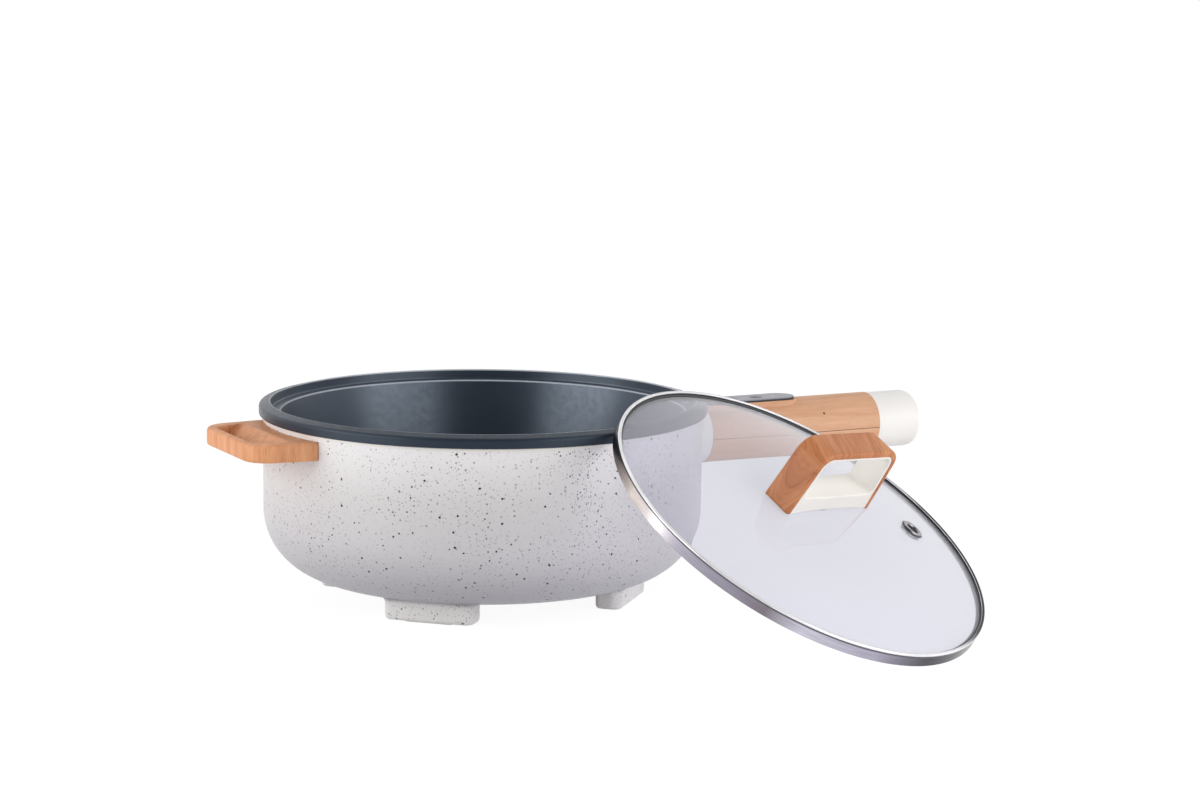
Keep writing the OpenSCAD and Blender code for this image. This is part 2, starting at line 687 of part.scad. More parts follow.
module lid_rim() {
  t = lid_sheet;
  top = lid_glass_z + glass_t;
  inner = lid_edge + 0.4;
  points = [[lid_r, 0], [lid_r, lid_skirt], [inner, lid_skirt], [inner, top], [lid_r - t, top],
    [lid_r - t, lid_glass_z], [inner, lid_glass_z], [inner, lid_glass_z - t], [lid_r - t, lid_glass_z - t],
    [lid_r - t, 0]];
  color([0.75, 0.74, 0.76]) lid_frame()
    turned(rounded(points, [0.2, lid_skirt - top + 0.5, 0, 0, 0.5, 0, 0, 0, 0, 0]));
}

module vent_grommet() {
  points = [[vent_hole, -1.2], [vent_r, -1.2], [vent_r, -0.2], [vent_hole + 0.7, -0.2],
    [vent_hole + 0.7, glass_t], [vent_r, glass_t], [vent_r, glass_t + 1.2], [vent_hole, glass_t + 1.2]];
  color([0.75, 0.74, 0.76]) lid_frame() vent_frame()
    turned(rounded(points, [0.6, 0.4, 0.2, 0, 0, 0.2, 0.5, 0.9]));
}

// The lid handle's outline in its own upright plane, grown by an offset
function knob_outline(grow) =
  rounded([[-knob_half - grow, apex_z - 4], [knob_half + grow, apex_z - 4],
    [knob_top + grow, apex_z + knob_h + grow], [-knob_top - grow, apex_z + knob_h + grow]],
    [0, 0, 6 + grow, 6 + grow]);

function knob_window() =
  rounded([[-knob_half + knob_wall, apex_z + 6], [knob_half - knob_wall, apex_z + 6],
    [knob_top - knob_wall, apex_z + knob_h - 5.5], [-knob_top + knob_wall, apex_z + knob_h - 5.5]],
    [4, 4, 5, 5]);

// Trims what stands on the glass to the dome, just above the gasket's thickness
module above_dome(lift) {
  difference() {
    children();
    rotate([-90, 0, 0]) translate([0, 0, dome_z]) sphere(r = dome_r + glass_t + lift, $fn = 90);
  }
}

module lid_handle_core() {
  color([0.95, 0.94, 0.94]) knob_frame() difference() {
    above_dome(0.4) linear_extrude(knob_w, center = true) difference() {
      polygon(knob_outline(0));
      polygon(knob_window());
    }
    rotate([-90, 0, 0]) translate([0, 0, apex_z - 5]) cylinder(h = 10, r = 2.5);
    rotate([-90, 0, 0]) translate([0, 0, apex_z - 5]) cylinder(h = 5.8, r = 8.1);
  }
}

module lid_handle_strap() {
  color([0.76, 0.5, 0.36]) knob_frame() above_dome(0.4) linear_extrude(knob_w - 1, center = true) difference() {
    polygon(knob_outline(strap_t));
    polygon(knob_outline(0));
  }
}

module lid_gasket() {
  color([0.9, 0.9, 0.9]) lid_frame() translate([0, 0, apex_z]) difference() {
    cylinder(h = 0.8, r = 8);
    translate([0, 0, -1]) cylinder(h = 3, r = 2.7);
  }
}

module lid_washer() {
  color([0.75, 0.74, 0.76]) lid_frame() translate([0, 0, apex_z - glass_t - 1.3]) difference() {
    cylinder(h = 1.2, r = 9);
    translate([0, 0, -1]) cylinder(h = 4, r = 2.7);
  }
}

module lid_screw() {
  color([0.75, 0.74, 0.76]) lid_frame() translate([0, 0, apex_z - glass_t - 1.3]) {
    translate([0, 0, -2.2]) cylinder(h = 2.2, r = 5);
    cylinder(h = glass_t + 6, r = 2.45);
  }
}

inner_pan();
outer_shell();
pan_seal();
base_cover();
for (i = [1:4]) base_screw(i);
for (i = [1:4]) foot(i);
for (i = [1:4]) foot_pad(i);
heat_plate();
heating_element();
heat_shield();
shield_post();
shield_nut();
thermostat();
thermal_fuse();
for (i = [1:3]) heater_lead(i);
side_handle();
side_bracket();
for (i = [1:2]) side_screw(i);
handle_bracket();
for (i = [1:2]) collar_screw(i);
handle_collar();
handle_lower();
handle_upper();
bracket_screw();
for (i = [1:2]) grip_screw(i);
grip_plug();
handle_end_cap();
power_inlet();
for (i = [1:3]) inlet_pin(i);
control_panel();
control_board();
push_button(0);  // low_button
push_button(1);  // high_button
indicator_lens();
lid_glass();
lid_rim();
vent_grommet();
lid_handle_core();
lid_handle_strap();
lid_gasket();
lid_washer();
lid_screw();
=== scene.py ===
"""Looks of the electric skillet: smooth skins, finishes, floor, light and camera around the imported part."""
import json

import bmesh
import bpy
import numpy as np
from mathutils import Matrix, Vector


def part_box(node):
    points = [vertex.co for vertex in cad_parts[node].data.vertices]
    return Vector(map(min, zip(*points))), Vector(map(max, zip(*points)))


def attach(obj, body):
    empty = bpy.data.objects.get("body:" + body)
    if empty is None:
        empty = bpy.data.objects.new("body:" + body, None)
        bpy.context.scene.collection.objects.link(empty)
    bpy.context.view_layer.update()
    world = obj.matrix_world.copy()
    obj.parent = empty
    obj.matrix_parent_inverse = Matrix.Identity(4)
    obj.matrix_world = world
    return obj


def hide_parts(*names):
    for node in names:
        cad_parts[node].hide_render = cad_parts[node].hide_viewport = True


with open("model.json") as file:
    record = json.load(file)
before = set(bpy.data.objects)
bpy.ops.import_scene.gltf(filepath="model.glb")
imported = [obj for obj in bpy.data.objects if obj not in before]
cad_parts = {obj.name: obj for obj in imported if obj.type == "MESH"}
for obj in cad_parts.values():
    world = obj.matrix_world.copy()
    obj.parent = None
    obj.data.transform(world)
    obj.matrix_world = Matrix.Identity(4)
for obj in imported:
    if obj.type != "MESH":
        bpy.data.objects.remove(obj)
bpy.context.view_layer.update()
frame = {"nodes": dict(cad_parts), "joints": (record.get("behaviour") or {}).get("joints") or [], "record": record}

# Sizes in millimetres, turns in degrees
MM = 0.001
RIM_R = 150.0
RIM_Z = 129.0
BAND_H = 6.4
SHELL_R = 147.3
SHELL_T = 2.2
STAND_Z = 14.2
SHELL_CORNER = 45.0
PLAIN_Z = 120.9
COVER_R = 89.8
STEP_R = 142.4
STEP_Z = 124.0
LIP_Z = 131.0
LEDGE_R = 135.4
BOWL_R = 117.5
BOWL_CORNER = 40.0
FLOOR_Z = 36.0
PAN_T = 2.8
FOOT_IN = 93.0
FOOT_OUT = 110.0
FOOT_LEN = 62.0
FOOT_ROUND = 5.5
FOOT_INSET = [8.4, 5.0, 2.6, 1.3, 0.5, 0.1, 0.0, 0.0, 0.0, -0.3, -1.1, -2.6]
FOOT_HEIGHT = [0.4, 0.4, 0.4, 0.75, 1.5, 2.7, 4.2, 8.0, 10.6, 12.2, 13.6, 15.4]
SIDE_X = 184.0
SIDE_HALF = 47.6
ROOT_X = 138.8
ROOT_HALF = 49.6
WELL_X = 177.5
WELL_HALF = 33.5
RAMP_X = 156.5
RAMP_HALF = 39.6
SLOT_X = 171.0
SLOT_HALF = 35.4
SLOT_WALL = 1.6
WALL_SINK = 0.15
WALL_NEAR = 0.5
SIDE_LOW = 106.8
SIDE_TOP = 118.8
AXIS_Z = 96.8
GRIP_R = 20.7
GRIP_X = 167.5
SEAM_Z = 94.8
SEAM_T = 0.2
SEAM_H = 0.4
SEAM_GAP = 0.3
CAP_X = 306.0
CAP_LEN = 35.0
CAP_R = 20.3
CAP_SEAT = 16.0
CAP_BORE = 15.4
CAP_WALL = 10.0
INLET_W = 27.6
INLET_H = 19.8
INLET_ROUND = 4.0
PANEL_X = 171.5
PANEL_END = 243.5
PANEL_W = 21.0
PLINTH_Z = 117.6
PANEL_T = 2.0
# Sizes of the dark ring under the panel, which is painted shade
SHADOW_LINE_OUT = 0.1
SHADOW_LINE_IN = 1.2
SHADOW_LINE_LOW = 0.3
SHADOW_LINE_TOP = 1.2
BUTTON_X = {"low": 193.5, "high": 213.5}
BUTTON_R = 4.2
BUTTON_FOOT = 5.4
STEM_R = 1.5
STEM_Z = 110.2
LID_R = 131.5
SKIRT = 7.6
BAND_T = 0.6
HEM_LOW = 1.8
HEM_TOP = 2.3
BEAD_Z = 8.9
FLANGE_R = 129.3
SEAL_R = 128.2
SEAL_Z = 7.0
# Widening of the dark seal towards one heading: painted dark reflection
SEAL_PAINTED_WIDENING = 3.0
SEAL_PAINTED_HEADING = 150.0
# Sizes of the dark lining inside the band, a piece of painted dark reflection
LINING_R = 126.6
LINING_LOW = 1.7
LINING_TOP = 2.94
GLASS_EDGE = 130.4
GLASS_LOW = 3.0
GLASS_T = 4.0
DOME_R = 463.40028
DOME_Z = -442.40028
GLASS_TOP_R = DOME_R + GLASS_T
APEX = 25.0
GASKET_HALF = 0.4
KNOB_TURN = 80.3
KNOB_SHIFT = 1.6
KNOB_W = 21.0
KNOB_LOW = 39.1
KNOB_HIGH = 35.5
KNOB_FOOT = -3.0
KNOB_TOP = 40.9
KNOB_ROUND = 8.0
KNOB_LEAN = 0.045
LEAN_FROM = 12.0
KNOB_LIFT = 0.4
WINDOW_LOW = 35.8
WINDOW_HIGH = 33.4
WINDOW_SILL = 10.4
WINDOW_TOP = 38.9
STRAP_T = 3.9
STRAP_PROUD = 0.2
TOP_DEPTH = 2.5
VENT_REACH = 82.0
VENT_TURN = 59.6
VENT_HOLE = 5.2
EYELET_BORE = 4.2
EYELET_NECK = 4.9
EYELET_R = 7.4
EYELET_T = 1.2

# Shares and slopes of the strap's grain
BEND_FROM = 0.16
BEND_SPAN = 0.18
FAR_BEND = 0.76
RING_SLOPE = 0.35
RING_SLANT = 0.5

# Counts of points
POT_STEPS = 320
LID_STEPS = 384
VENT_STEPS = 128
BUTTON_STEPS = 72
KNOB_ARC = 12
KNOB_SIDE = 24
LOOP_ARC = 14
LOOP_SIDE = 24
FOOT_STEPS = 96
CAP_STEPS = 224
TIP_STEPS = 40
EDGE_STEPS = 24
SEAM_STEPS = 12
PANE_STEPS = 288
PANE_ROWS = 56


# Frames


def middle(node):
    """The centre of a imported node's box, in metres."""
    low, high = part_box(node)
    return (np.array(low) + np.array(high)) / 2


def unit(v):
    """A direction of length one."""
    v = np.asarray(v, float)
    return v / np.linalg.norm(v)


post = middle("shield_post")
POT = (np.array([post[0], post[1], 0.0]), np.eye(3))
HANDLE = (POT[0] + np.array([0, 0, AXIS_Z * MM]), np.array([[0, 1.0, 0], [0, 0, 1.0], [1.0, 0, 0]]))
lid_up = unit(next(j for j in frame["joints"] if j["name"] == "lid_lift")["axis"])
lid_across = unit(np.cross([0, 0, 1.0], lid_up))
lid_down = np.cross(lid_across, lid_up)
LID = (middle("lid_gasket") - (APEX + GASKET_HALF) * MM * lid_up, np.array([lid_down, lid_across, lid_up]))


def turned_frame(base, degrees, origin=(0, 0, 0)):
    """A frame turned about its third axis and moved, given in the base frame's own axes and millimetres."""
    a = np.radians(degrees)
    turn = np.array([[np.cos(a), np.sin(a), 0], [-np.sin(a), np.cos(a), 0], [0, 0, 1.0]])
    return base[0] + MM * np.asarray(origin, float) @ base[1], turn @ base[1]


KNOB = turned_frame(LID, KNOB_TURN, (KNOB_SHIFT, 0, 0))
vent_lean = np.arcsin(VENT_REACH / DOME_R)
vent_turn = np.radians(VENT_TURN)
vent_out = np.array([np.cos(vent_turn), np.sin(vent_turn), 0])
vent_up = np.sin(vent_lean) * vent_out + np.array([0, 0, np.cos(vent_lean)])
vent_side = np.array([-np.sin(vent_turn), np.cos(vent_turn), 0])
VENT_AXES = np.array([np.cross(vent_side, vent_up), vent_side, vent_up])
VENT = (LID[0] + MM * (np.array([0, 0, DOME_Z]) + DOME_R * vent_up) @ LID[1], VENT_AXES @ LID[1])


# Outlines and surfaces

ARC_SUPPORT = 0.12
CURVE_SUPPORT = 1.15
CUT_SHARE = 0.42
SAME_POINT = 2e-6
WIDE_RADIUS = 10
WIDE_STEPS = 40


def arc_corner(p, before, after, radius, steps):
    """One corner of an outline: a circle's arc that touches both sides, with a support point on each."""
    u, v = unit(before - p), unit(after - p)
    half = np.arccos(np.clip(u @ v, -1, 1)) / 2
    reach = radius / np.tan(half)
    centre = p + unit(u + v) * radius / np.sin(half)
    start, end = p + u * reach - centre, p + v * reach - centre
    a = np.arctan2(start[1], start[0])
    sweep = (np.arctan2(end[1], end[0]) - a + np.pi) % (2 * np.pi) - np.pi
    t = a + sweep * np.linspace(0, 1, steps)
    curve = centre + radius * np.stack([np.cos(t), np.sin(t)], axis=1)
    lead = p + u * (reach + ARC_SUPPORT * radius)
    tail = p + v * (reach + ARC_SUPPORT * radius)
    return np.vstack([lead, curve, tail])


def rounded(corners, radii, steps=7):
    """A closed outline whose corners are arcs of the given radii; a radius of nought keeps the corner."""
    c = np.asarray(corners, float)
    n = len(c)
    parts = []
    for i, r in enumerate(radii):
        count = steps if r < WIDE_RADIUS else WIDE_STEPS
        parts.append(c[i][None] if r == 0 else arc_corner(c[i], c[i - 1], c[(i + 1) % n], r, count))
    return np.vstack(parts)


def stations(corners, radii, arc_steps, side_steps):
    """A closed outline with equal counts of points on all arcs and on all sides, so that outlines match."""
    c = np.asarray(corners, float)
    n = len(c)
    arcs = [arc_corner(c[i], c[i - 1], c[(i + 1) % n], radii[i], arc_steps)[1:-1] for i in range(n)]
    t = np.linspace(0, 1, side_steps + 2)[1:-1, None]
    return np.vstack([np.vstack([arcs[i], arcs[i][-1] + t * (arcs[(i + 1) % n][0] - arcs[i][-1])])
                      for i in range(n)])


def softened(corners, cuts, steps):
    """Closed outlines in rows: each corner becomes a quadratic curve between the points a cut away on its
    two sides, with a support point beyond each end to keep the flats flat."""
    c = np.asarray(corners, float)
    cuts = np.broadcast_to(np.asarray(cuts, float), c.shape[:-1])[..., None]
    back = np.roll(c, 1, axis=-2) - c
    ahead = np.roll(c, -1, axis=-2) - c
    back_len = np.linalg.norm(back, axis=-1, keepdims=True)
    ahead_len = np.linalg.norm(ahead, axis=-1, keepdims=True)
    cut = np.minimum(cuts, CUT_SHARE * np.minimum(back_len, ahead_len))
    start = (c + back / back_len * cut)[..., None, :]
    end = (c + ahead / ahead_len * cut)[..., None, :]
    t = np.linspace(0, 1, steps)[:, None]
    curve = (1 - t) ** 2 * start + 2 * t * (1 - t) * c[..., None, :] + t ** 2 * end
    lead = (c + CURVE_SUPPORT * cut * back / back_len)[..., None, :]
    tail = (c + CURVE_SUPPORT * cut * ahead / ahead_len)[..., None, :]
    rows = np.concatenate([lead, curve, tail], axis=-2)
    return rows.reshape(*c.shape[:-2], -1, c.shape[-1])


def turned(profile, count):
    """A profile of radius and height carried round an axis: radius times cosine and sine, and the height."""
    a = np.linspace(0, 2 * np.pi, count, endpoint=False)[:, None]
    r, h = profile[None, :, 0], profile[None, :, 1]
    return np.stack([r * np.cos(a), r * np.sin(a), h + 0 * a], axis=-1)


def level(plan, height):
    """Points of a plane, all at one height."""
    return np.hstack([plan, np.full((len(plan), 1), height)])


def closed_ends(grid):
    """The grid with its first and last rows drawn in to their middles, which closes an open run."""
    first = np.broadcast_to(grid[:1].mean(axis=1, keepdims=True), grid[:1].shape)
    last = np.broadcast_to(grid[-1:].mean(axis=1, keepdims=True), grid[-1:].shape)
    return np.concatenate([first, grid, last], axis=0)


def put(name, grid, place, finish, body, replaces=(), wrap=True, grain=None):
    """Makes a piece from a grid of points: rows join to the next row, the last to the first if wrap is set,
    and every row is a closed ring. Doubles are merged, and faces turned outwards."""
    rows, cols = grid.shape[:2]
    origin, axes = place
    points = origin + MM * grid.reshape(-1, 3) @ axes
    i = np.arange(rows if wrap else rows - 1)[:, None]
    j = np.arange(cols)[None, :]
    below, beyond = (i + 1) % rows, (j + 1) % cols
    quads = np.stack([i * cols + j, below * cols + j, below * cols + beyond, i * cols + beyond], axis=-1)
    quads = quads.reshape(-1, 4)
    mesh = bpy.data.meshes.new(name)
    mesh.from_pydata(points.tolist(), [], quads.tolist())
    if grain is not None:
        layer = mesh.attributes.new("grain", "FLOAT_VECTOR", "POINT")
        layer.data.foreach_set("vector", (MM * grain.reshape(-1, 3)).astype(np.float32).ravel())
    shape = bmesh.new()
    shape.from_mesh(mesh)
    bmesh.ops.remove_doubles(shape, verts=shape.verts, dist=SAME_POINT)
    bmesh.ops.recalc_face_normals(shape, faces=shape.faces)
    shape.to_mesh(mesh)
    shape.free()
    mesh.shade_smooth()
    piece = bpy.data.objects.new(name, mesh)
    bpy.context.scene.collection.objects.link(piece)
    mesh.materials.append(finish)
    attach(piece, body)
    if replaces:
        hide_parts(*replaces)


# Finishes

# Where the painted highlights on the pan's edges begin and become full, along X in millimetres
HIGHLIGHT_FAINT_X = -130
HIGHLIGHT_FULL_X = -60
RING_BOW = 70.0
GRAIN_DEPTH = 0.003


class Nodes:
    """Helpers that add nodes to a tree."""

    def __init__(self, tree):
        self.tree = tree

    def node(self, kind, inputs=(), **settings):
        """Adds a node, sets its settings, and sets or links its inputs by name or number."""
        made = self.tree.nodes.new("ShaderNode" + kind)
        for key, value in settings.items():
            setattr(made, key, value)
        for key, value in dict(inputs).items():
            if isinstance(value, bpy.types.NodeSocket):
                self.tree.links.new(value, made.inputs[key])
            else:
                made.inputs[key].default_value = value
        return made

    def noise(self, vector, scale, detail, rough=0.5, distort=0.0):
        """Cloudy noise from nought to one."""
        made = self.node("TexNoise", {"Vector": vector, "Scale": scale, "Detail": detail, "Roughness": rough,
                                      "Distortion": distort})
        return made.outputs["Fac"]

    def ramp(self, fac, stops):
        """Colours along a factor: pairs of position and colour."""
        made = self.node("ValToRGB", {"Fac": fac})
        bar = made.color_ramp.elements
        while len(bar) < len(stops):
            bar.new(0.5)
        for element, (position, colour) in zip(bar, stops):
            element.position = position
            element.color = rgba(colour)
        return made.outputs["Color"]

    def span(self, value, low, high, to_low=0.0, to_high=1.0):
        """A value carried from one range to another with soft ends."""
        made = self.node("MapRange", {"Value": value, "From Min": low, "From Max": high, "To Min": to_low,
                                      "To Max": to_high}, interpolation_type="SMOOTHSTEP")
        return made.outputs["Result"]

    def past(self, value, low, high):
        """Nought before a length and one past another, both in millimetres, or the reverse."""
        return self.span(value, low * MM, high * MM)

    def mix(self, fac, a, b):
        """From colour a to colour b."""
        return self.node("Mix", {0: fac, 6: a, 7: b}, data_type="RGBA").outputs[2]

    def maths(self, operation, a, b=0.0):
        """One sum on two values."""
        return self.node("Math", {0: a, 1: b}, operation=operation).outputs[0]

    def both(self, a, b):
        """The product of two values, so one only where both are."""
        return self.maths("MULTIPLY", a, b)

    def parts(self, vector):
        """The three parts of a vector, by letter."""
        return self.node("SeparateXYZ", {"Vector": vector}).outputs

    def reach(self, place):
        """Distance of a place from the third axis."""
        flat = self.node("VectorMath", {0: place, 1: (1, 1, 0)}, operation="MULTIPLY").outputs[0]
        return self.node("VectorMath", {0: flat}, operation="LENGTH").outputs["Value"]

    def ring(self, reach, centre, half):
        """One on a thin ring at a distance from the axis, nought beside it."""
        off = self.maths("ABSOLUTE", self.maths("SUBTRACT", reach, centre * MM))
        return self.past(off, 1.4 * half, 0.6 * half)


class Finish(Nodes):
    """A procedural material: a shader with its plain values set on the sockets, and nodes that feed it."""

    def __init__(self, name, colour, rough, **sockets):
        self.material = bpy.data.materials.new(name)
        self.material.use_nodes = True
        super().__init__(self.material.node_tree)
        self.shader = self.tree.nodes["Principled BSDF"]
        self.shader.inputs["Base Color"].default_value = rgba(colour)
        self.shader.inputs["Roughness"].default_value = rough
        for key, value in sockets.items():
            self.shader.inputs[key.replace("_", " ")].default_value = value
        self.coords = self.node("TexCoord").outputs["Object"]

    def link(self, source, socket):
        """Feeds one of the shader's sockets."""
        self.tree.links.new(source, self.shader.inputs[socket])

    def show(self, shader):
        """Puts a shader at the material's output."""
        self.tree.links.new(shader.outputs[0], self.tree.nodes["Material Output"].inputs["Surface"])

    def own_place(self):
        """The piece's own attribute: its place in its own frame, or its grain."""
        return self.node("Attribute", attribute_name="grain").outputs["Vector"]

    def stretched(self, scale, source):
        """Coordinates scaled by axis, so that a pattern stretches along one direction."""
        return self.node("Mapping", {"Vector": source, "Scale": scale}).outputs["Vector"]

    def bump(self, height, strength, distance):
        """Feeds the shader's normal from a height."""
        made = self.node("Bump", {"Height": height, "Strength": strength, "Distance": distance})
        self.link(made.outputs["Normal"], "Normal")


def linear(colour):
    """Screen values from 0 to 255 as linear light."""
    c = np.asarray(colour, float) / 255
    return np.where(c <= 0.04045, c / 12.92, ((c + 0.055) / 1.055) ** 2.4).tolist()


def rgba(colour):
    """Screen values as a socket's colour."""
    return (*linear(colour), 1)


def moulded(name, colour, rough, grit=900.0, depth=0.00003, change=6):
    """Moulded plastic: a slow drift of tone, and fine grit in the surface."""
    f = Finish(name, colour, rough)
    drift = f.noise(f.coords, 14.0, 2.0)
    low = [max(0, c - change) for c in colour]
    high = [min(255, c + change) for c in colour]
    f.link(f.ramp(drift, [(0.3, low), (0.7, high)]), "Base Color")
    f.bump(f.noise(f.coords, grit, 2.0), 0.25, depth)
    return f.material


def specks(f, at, cell, size, keep, soft):
    """A layer of specks: balls about scattered points, kept for a share of the points and of mixed sizes."""
    cells = f.node("TexVoronoi", {"Vector": at, "Scale": 1 / (cell * MM), "Randomness": 1.0})
    pick = f.node("SeparateColor", {"Color": cells.outputs["Color"]})
    share = size / cell
    reach = f.both(f.span(pick.outputs[1], 0.0, 1.0, 0.6, 1.15), share)
    kept = f.maths("LESS_THAN", pick.outputs[0], keep)
    near = f.maths("SUBTRACT", reach, cells.outputs["Distance"])
    return f.both(f.span(near, -soft * share, soft * share), kept)


def speckled(name, base, lit_lip_tone, lip_z):
    """Speckled enamel look: a pale tone that drifts, painted shade that darkens it down the side and under the
    body, three layers of dark specks, and a plain band above lip_z made lighter and warmer by painted bounce
    light."""
    f = Finish(name, base, 0.42, Coat_Weight=0.12, Coat_Roughness=0.3)
    height = f.parts(f.coords)["Z"]
    rise = f.node("MapRange", {"Value": height, "From Min": 0.0, "From Max": lip_z * MM}).outputs["Result"]
    # Tone by height: painted shade, darker down the side and darkest just above the feet under the body; the feet
    # themselves stay pale.
    tone = f.ramp(rise, [(0.1, [224, 221, 219]), (0.125, [161, 158, 165]), (0.22, [176, 173, 179]),
                         (0.45, [198, 195, 198]), (0.72, [c - 27 for c in base]),
                         (1.0, [c - 3 for c in base])])
    drift = f.noise(f.coords, 16.0, 3.0)
    tone = f.mix(f.span(drift, 0.3, 0.7, 0.0, 0.05), tone, rgba([150, 148, 152]))
    wobble = f.node("TexNoise", {"Vector": f.coords, "Scale": 700.0, "Detail": 1.0}).outputs["Color"]
    at = f.node("MixRGB", {0: 0.0005, 1: f.coords, 2: wobble}, blend_type="ADD").outputs[0]
    crowd = f.span(f.noise(f.coords, 22.0, 2.0), 0.36, 0.62)
    fine = f.both(specks(f, at, 1.75, 0.4, 0.9, 0.5), f.span(crowd, 0.0, 1.0, 0.3, 0.8))
    medium = f.both(specks(f, at, 3.2, 0.56, 0.75, 0.35), f.span(crowd, 0.0, 1.0, 0.5, 0.95))
    large = specks(f, at, 6.4, 0.76, 0.8, 0.2)
    below = f.past(height, lip_z + 0.4, lip_z - 0.4)
    for layer, colour in ((fine, [118, 114, 116]), (medium, [62, 60, 64]), (large, [26, 26, 30])):
        tone = f.mix(f.both(layer, below), tone, rgba(colour))
    # The plain band above lip_z is a little lighter and warmer: painted bounce light from the wood.
    f.link(f.mix(below, rgba(lit_lip_tone), tone), "Base Color")
    f.bump(f.noise(f.coords, 650.0, 2.0), 0.2, 0.00004)
    return f.material


def nonstick(name, colour):
    """Dark satin coating: a slight drift of tone, fine grain, gloss drawn out up the wall by turning lines, a
    duller band outside, and painted highlights: pale lines on the edges of the rim and the ledge, fainter to one
    side."""
    f = Finish(name, colour, 0.4, IOR=2.0, Anisotropic=0.6, Anisotropic_Rotation=0.25,
               Specular_Tint=rgba([222, 236, 255]))
    f.link(f.node("Tangent", direction_type="RADIAL", axis="Z").outputs[0], "Tangent")
    drift = f.noise(f.coords, 20.0, 3.0)
    tone = f.ramp(drift, [(0.25, [c - 3 for c in colour]), (0.75, [c + 3 for c in colour])])
    place = f.node("VectorMath", {0: f.coords, 1: POT[0]}, operation="SUBTRACT").outputs[0]
    reach = f.reach(place)
    spot = f.parts(place)
    # Painted highlights: pale lines on the rim's inner edge and on the ledge's edge, fainter towards negative X.
    rim = f.both(f.ring(reach, STEP_R + 0.3, 0.4), f.past(spot["Z"], LIP_Z - 1.4, LIP_Z - 0.8))
    ledge = f.both(f.ring(reach, LEDGE_R + 0.1, 0.6), f.past(spot["Z"], STEP_Z - 1.2, STEP_Z - 0.6))
    for line, most, highlight_paint in ((rim, 0.85, [222, 225, 230]), (ledge, 0.75, [196, 200, 208])):
        highlight_fade = f.span(spot["X"], HIGHLIGHT_FAINT_X * MM, HIGHLIGHT_FULL_X * MM, 0.25, most)
        tone = f.mix(f.both(line, highlight_fade), tone, rgba(highlight_paint))
    f.link(tone, "Base Color")
    f.link(f.span(reach, STEP_R * MM, (STEP_R + 1.2) * MM, 0.5, 0.13), "Specular IOR Level")
    f.link(f.span(f.noise(f.coords, 260.0, 2.0), 0.3, 0.7, 0.37, 0.43), "Roughness")
    f.bump(f.noise(f.coords, 1400.0, 2.0), 0.12, 0.00003)
    return f.material


def wood(name, dark, mid, pale, scale, lines, own_grain=False):
    """Printed wood: broad bands, fine streaks and short pores, all stretched along the grain. A piece's own
    grain is bowed into arches by the square of its third part."""
    f = Finish(name, mid, 0.5, Specular_IOR_Level=0.35)
    source = f.coords
    if own_grain:
        own = f.parts(f.own_place())
        bow = f.both(f.both(own["Z"], own["Z"]), RING_BOW)
        bowed = {0: f.maths("ADD", own["X"], bow), 1: own["Y"], 2: GRAIN_DEPTH}
        source = f.node("CombineXYZ", bowed).outputs[0]
    grain = f.stretched(scale, source)
    broad = f.noise(grain, 0.35, 4.0, 0.55, 0.6)
    tone = f.ramp(broad, [(0.25, dark), (0.47, mid), (0.72, pale)])
    streak = f.noise(grain, 1.6, 5.0, 0.65, 0.25)
    tone = f.mix(f.span(streak, 0.5, 0.72, 0.0, lines), tone, rgba([c * 0.78 for c in dark]))
    pores = f.noise(grain, 5.0, 2.0, 0.5)
    tone = f.mix(f.span(pores, 0.62, 0.75, 0.0, 0.35), tone, rgba([c * 0.62 for c in dark]))
    f.link(tone, "Base Color")
    f.link(f.span(streak, 0.3, 0.7, 0.44, 0.56), "Roughness")
    f.bump(f.maths("ADD", streak, pores), 0.12, 0.00005)
    return f.material


def steel(name, colour, rough, anisotropy, brush):
    """Steel: fine brushing as uneven gloss and shallow lines along one direction."""
    f = Finish(name, colour, rough, Metallic=1.0, Anisotropic=anisotropy)
    lines = f.noise(f.stretched(brush, f.coords), 1.0, 3.0, 0.6)
    f.link(f.span(lines, 0.3, 0.7, rough * 0.8, rough * 1.25), "Roughness")
    f.bump(lines, 0.06, 0.00002)
    return f.material


